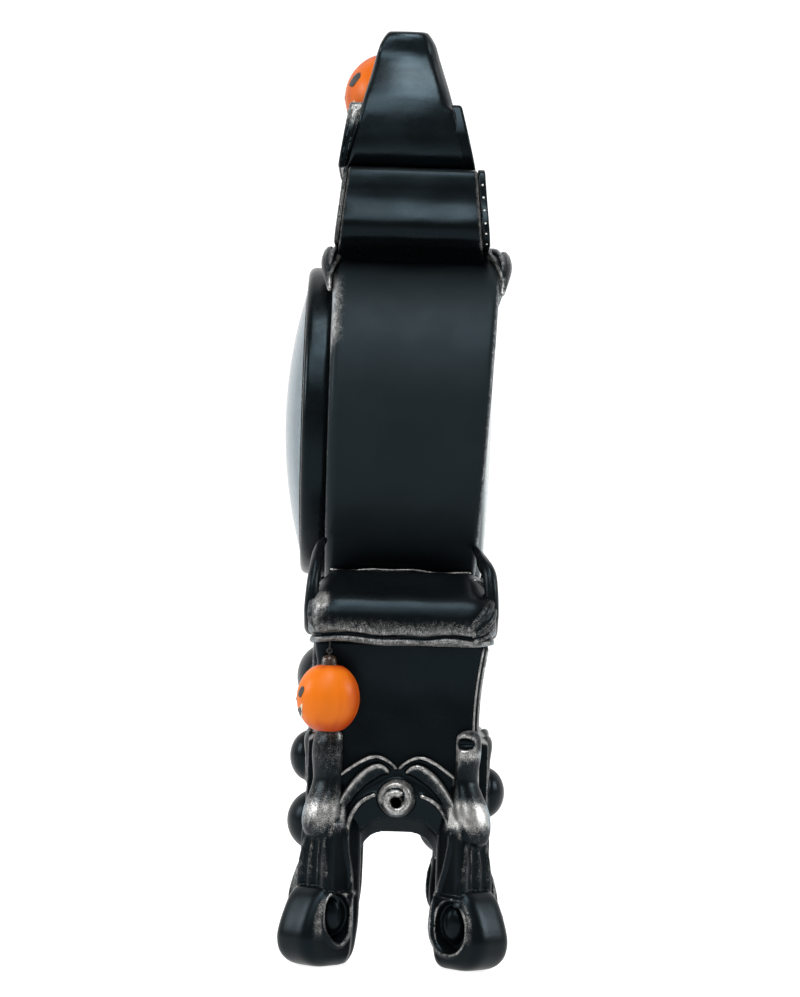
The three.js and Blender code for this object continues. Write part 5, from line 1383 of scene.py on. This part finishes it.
def lantern(name, gourd, body, stem, eye, deep=0.0):
    """A gourd with its stem and face; stem is a radius and a height, and deep darkens the paint as painted
    shade.
    """
    skin = gourd.skin()
    # Painted shade from the gourd's shape, with more added by deep.
    shade = np.clip(np.clip(gourd.shade(skin[0]), 0, 1) + deep, 0, 1)
    piece(f"{name}_gourd", [skin], PUMPKIN, [name], body, shade)
    top = gourd.centre + (0, 0, 0.9 * gourd.half_height)
    piece(f"{name}_stem", [stem_skin(top, *stem)], STEM_BROWN, body=body)
    dark, pale = gourd_face(gourd, eye)
    piece(f"{name}_face", dark, FACE_BLACK, body=body)
    piece(f"{name}_grin", pale, FACE_CREAM, body=body)


LANTERN_X = 69.6
LANTERN_Y = -22.2
LANTERN_Z = 83.7
LANTERN_RADIUS = 9.8
LANTERN_HALF = 11.2
HANG_Z = 98.6
LOOP = 0.7
WIRE = 0.25


def wire_loop(centre, axis):
    """A ring of wire about an axis along X or Y."""
    across = np.array((1, 1, 0)) - axis
    rings = []
    for turn in circle(24):
        out = math.cos(turn) * across + math.sin(turn) * np.array(UP)
        middle = np.array(centre) + LOOP * out
        rings.append([middle + WIRE * (math.cos(t) * out + math.sin(t) * np.array(axis)) for t in circle(10)])
    return ring_skin(rings, loop=True)


def upright_wire(x, heights, count):
    """A short straight wire through some heights over a hanging lantern."""
    rows = [(x, LANTERN_Y, z, WIRE, WIRE) for z in heights]
    return tube(rows, OUT, count, 10, (0.01, 0.01))


def hanging_lantern(hand, side):
    """A lantern with its wire hook, and the wire eye in the bolster that it hangs from."""
    name, x = f"lantern_{hand}", side * LANTERN_X
    gourd = Gourd((x, LANTERN_Y, LANTERN_Z), LANTERN_RADIUS, LANTERN_HALF)
    lantern(name, gourd, name, (2.3, 3.2), 0.16)
    loop_z = HANG_Z + 2.15 * WIRE - LOOP
    low = LANTERN_Z + 0.89 * LANTERN_HALF + 1.6
    shank = upright_wire(x, (low, low + 1, loop_z - LOOP + 0.2), 12)
    hook = wire_loop((x, LANTERN_Y, loop_z), OUT)
    hanger = f"lantern_hanger_{hand}"
    piece(f"{hanger}_wire", [shank, hook], WIRE_DARK, [hanger], name)
    ring = wire_loop((x, LANTERN_Y, HANG_Z + LOOP), BACK)
    top = HANG_Z + 2 * LOOP
    stub = upright_wire(x, (top, top + 0.8, top + 1.8), 8)
    piece(f"lantern_eye_{hand}", [ring, stub], WIRE_DARK)


for hand, side in HANDS:
    hanging_lantern(hand, side)
crest_gourd = Gourd((0, -LANTERN_FORWARD, CREST_Z + LANTERN_UP), CREST_LANTERN_RADIUS, 15.2)
# The crest lantern sits in the crest's hole and takes more painted shade.
lantern("crest_lantern", crest_gourd, "case", (1.9, 2.2), 0.3, 0.4)


# Clock insert: bezel, lens, dial with its print, and the rear cover

BEZEL_FRONT = -33.6
BEZEL_BACK = -25.5
BEZEL_RADIUS = 50.0
BEZEL_BORE = 46.4
BEZEL_LIP = 42.6
LENS_RADIUS = 44.3
LENS_CROWN = 6.5
LENS_WALL = 2.0
LENS_BACK = -31.0
DIAL_Y = -28.0
DIAL_RADIUS = 45.8
DIAL_BORE = 4.3
INK_FRONT = DIAL_Y - 0.05
INK_BACK = DIAL_Y + 0.3
TRACK = (37.9, 41.2)
NUMBER_RADIUS = 31.0
NUMBER_SIZE = 9.5
RIM = 25.2


def around(profile, segments=160):
    """A closed profile of radius and y, turned about the insert's axis."""
    return inside_out(turned(profile, segments, (0, 0, DRUM_Z)))


def flat_ring(inner, outer, front, back):
    """A flat ring about the insert's axis, from front to back."""
    return around([(inner, front), (outer, front), (outer, back), (inner, back)])


def bezel():
    """A rounded ring with a rebate for the lens and a lip behind it."""
    profile = [(BEZEL_BORE, BEZEL_BACK), (BEZEL_RADIUS - 0.3, BEZEL_BACK)]
    profile += [(BEZEL_RADIUS, y) for y in (-25.8, -27.5, -29.5)]
    profile += arc((BEZEL_RADIUS - 2.4, BEZEL_FRONT + 2.4), 2.4, 0, -90)
    profile += arc((LENS_RADIUS + 0.9, BEZEL_FRONT + 0.5), 0.5, -90, -180, 5)
    profile += [(LENS_RADIUS + 0.35, -30.8), (BEZEL_LIP, -30.8), (BEZEL_LIP, -28.1), (BEZEL_BORE, -28.1)]
    return around(profile[::-1])


def lens():
    """A domed glass of even wall with a flat rim."""
    curve = (LENS_RADIUS ** 2 + LENS_CROWN ** 2) / (2 * LENS_CROWN)
    small = curve - LENS_WALL
    middle = BEZEL_FRONT - LENS_CROWN + curve
    inner_radius = LENS_RADIUS - 2.0
    profile = [(r, middle - math.sqrt(curve ** 2 - r ** 2)) for r in np.linspace(0.02, LENS_RADIUS, 26)]
    profile += [(LENS_RADIUS, LENS_BACK), (inner_radius, LENS_BACK)]
    profile += [(r, middle - math.sqrt(small ** 2 - r ** 2)) for r in np.linspace(inner_radius, 0.02, 24)]
    return around(profile, 128)


def minute_mark(minute):
    """One mark of the minute track, wider at the hours."""
    turn = math.radians(6 * minute)
    out = np.array((math.sin(turn), math.cos(turn)))
    across = (0.2 if minute % 5 else 0.55) * np.array((math.cos(turn), -math.sin(turn)))
    inner, outer = (radius * out for radius in TRACK)
    corners = [inner - across, outer - across, outer + across, inner + across]
    return ring_skin([[(a, y, DRUM_Z + b) for a, b in corners] for y in (INK_FRONT, INK_BACK)])


def dial_track():
    """Rings and minute marks, as thin raised ink."""
    rings = ((41.2, 41.5), (37.6, 37.9), (24.2, 24.5))
    skins = [flat_ring(inner, outer, INK_FRONT, INK_BACK) for inner, outer in rings]
    return skins + [minute_mark(minute) for minute in range(60)]


def dial_number(hour):
    """An hour number from the plain built-in letter shapes."""
    curve = bpy.data.curves.new("number", "FONT")
    curve.body = str(hour)
    curve.size = NUMBER_SIZE
    curve.align_x = "CENTER"
    curve.align_y = "CENTER"
    curve.extrude = 0.05
    obj = linked("number", curve)
    verts, faces = read_back(obj)
    bpy.data.objects.remove(obj)
    turn = math.radians(30 * hour)
    x = verts[:, 0] + NUMBER_RADIUS * math.sin(turn)
    z = verts[:, 1] + NUMBER_RADIUS * math.cos(turn)
    return np.column_stack([x, DIAL_Y - 0.06 - verts[:, 2], DRUM_Z + z]), faces


def cover_dome(radius):
    """How far back the rear cover's dome lies at a radius."""
    return RIM + 1.8 * (1 - (radius / COVER_RADIUS) ** 2)


def rear_cover():
    """A shallow domed cap with a rim that pushes into the drum."""
    front = COVER_SEAT + COVER_GAP
    profile = [(COVER_RADIUS, front), (COVER_RADIUS, RIM - 1.0)]
    profile += arc((COVER_RADIUS - 0.9, RIM - 0.9), 0.9, 0, 80, 6)
    profile += [(r, cover_dome(r)) for r in np.linspace(COVER_RADIUS - 1.6, 0.05, 20)]
    profile += [(r, cover_dome(r) - 1.6) for r in np.linspace(0.05, COVER_RADIUS - 1.8, 18)]
    profile += [(COVER_RADIUS - 1.6, front)]
    return around(profile, 128)


piece("bezel_ring", [bezel()], BEZEL_BLACK, ["bezel"])
piece("lens_glass", [lens()], GLASS, ["lens"])
dial_plate = flat_ring(DIAL_BORE, DIAL_RADIUS, DIAL_Y, DIAL_Y + 0.9)
piece("dial_plate", [dial_plate], PAPER, ["dial"])
piece("dial_track", dial_track(), INK, smooth=False)
piece("dial_numbers", [dial_number(hour) for hour in range(1, 13)], INK, smooth=False)
piece("rear_cover_cap", [rear_cover()], COVER_PLASTIC, ["rear_cover"], "rear_cover")


# CAD nodes that stay in sight keep their shape and take the fine materials

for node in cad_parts.values():
    for place, held in enumerate(node.data.materials):
        base = held.name.split(".")[0] if held else ""
        if base in SLOT_LOOKS:
            node.data.materials[place] = SLOT_LOOKS[base]


# Stage, light and camera, in metres

MIDDLE = (0.0, MID_Y * MM, 0.16)
# Each softbox as its place, its size and its power
LIGHTS = {
    "key": ((0.42, 0.04, 1.05), (0.30, 0.55), 7.0),
    "wide": ((0.85, -0.30, 0.95), (0.8, 0.5), 8.0),
    "left": ((0.10, -1.1, 0.55), (0.30, 0.40), 7.0),
    "right": ((0.10, 1.1, 0.55), (0.30, 0.40), 7.0),
}
CAMERA_DISTANCE = 1.350
CAMERA_HEIGHT = 0.1462
CAMERA_SIDE = -1.9
FOCAL_PIXELS = 4131
IMAGE_WIDTH = 800
SENSOR = 36.0
ROLL = math.radians(1.8)


def floor_paint():
    """Pale grey that glows a little, more so behind the clock."""
    n = Nodes("floor_pale")
    along = n.add("ShaderNodeSeparateXYZ")
    n.give(along, Vector=n.add("ShaderNodeTexCoord").outputs["Object"])
    n.set(Base_Color=n.mixed(n.noise(3.0, 2.0), (0.38, 0.38, 0.38, 1), (0.4, 0.4, 0.4, 1)), Roughness=0.8,
          Specular_IOR_Level=0.1, Emission_Color=WHITE,
          Emission_Strength=n.between(along.outputs["X"], 0.25, 0.8, 0.9, 0.25))
    return n.material


def floor():
    """A pale floor that sweeps up into a backdrop behind the clock."""
    half, bend, back = 4.0, 0.7, -0.9
    turns = np.linspace(0, math.pi / 2, 16)
    profile = [(half, 0.0)] + [(back - bend * math.sin(t), bend * (1 - math.cos(t))) for t in turns]
    profile.append((back - bend, 4.0))
    verts = [(x, side * half, z) for x, z in profile for side in (-1, 1)]
    faces = [(2 * i, 2 * i + 1, 2 * i + 3, 2 * i + 2) for i in range(len(profile) - 1)]
    mesh = mesh_from("floor", [(verts, faces)])
    mesh.materials.append(floor_paint())
    mesh.polygons.foreach_set("use_smooth", [True] * len(mesh.polygons))
    linked("floor", mesh)


def softbox(name, place, size, power):
    """A light panel that faces the middle of the clock."""
    data = bpy.data.lights.new(name, "AREA")
    data.shape = "RECTANGLE"
    data.size, data.size_y = size
    data.energy = power
    obj = linked(name, data)
    obj.location = place
    obj.rotation_euler = (Vector(MIDDLE) - Vector(place)).to_track_quat("-Z", "Y").to_euler()


def world_light():
    """An even white light from all round."""
    world = bpy.data.worlds.new("studio")
    world.use_nodes = True
    background = world.node_tree.nodes["Background"]
    background.inputs["Color"].default_value = WHITE
    background.inputs["Strength"].default_value = 0.2
    bpy.context.scene.world = world
    bpy.context.scene.view_settings.view_transform = "Standard"


def photo_camera():
    """The photograph's camera: at the right side, level with the drum's lower half and slightly rolled."""
    camera = bpy.data.cameras.new("camera")
    camera.sensor_fit = "HORIZONTAL"
    camera.sensor_width = SENSOR
    camera.lens = SENSOR * FOCAL_PIXELS / IMAGE_WIDTH
    camera.clip_end = 20
    eye = linked("camera", camera)
    place = Matrix.Translation((CAMERA_DISTANCE, (MID_Y + CAMERA_SIDE) * MM, CAMERA_HEIGHT))
    facing = Euler((math.pi / 2, 0, math.pi / 2)).to_matrix().to_4x4()
    eye.matrix_world = place @ facing @ Matrix.Rotation(ROLL, 4, "Z")
    bpy.context.scene.camera = eye


floor()
for name, (place, size, power) in LIGHTS.items():
    softbox(name, place, size, power)
world_light()
photo_camera()
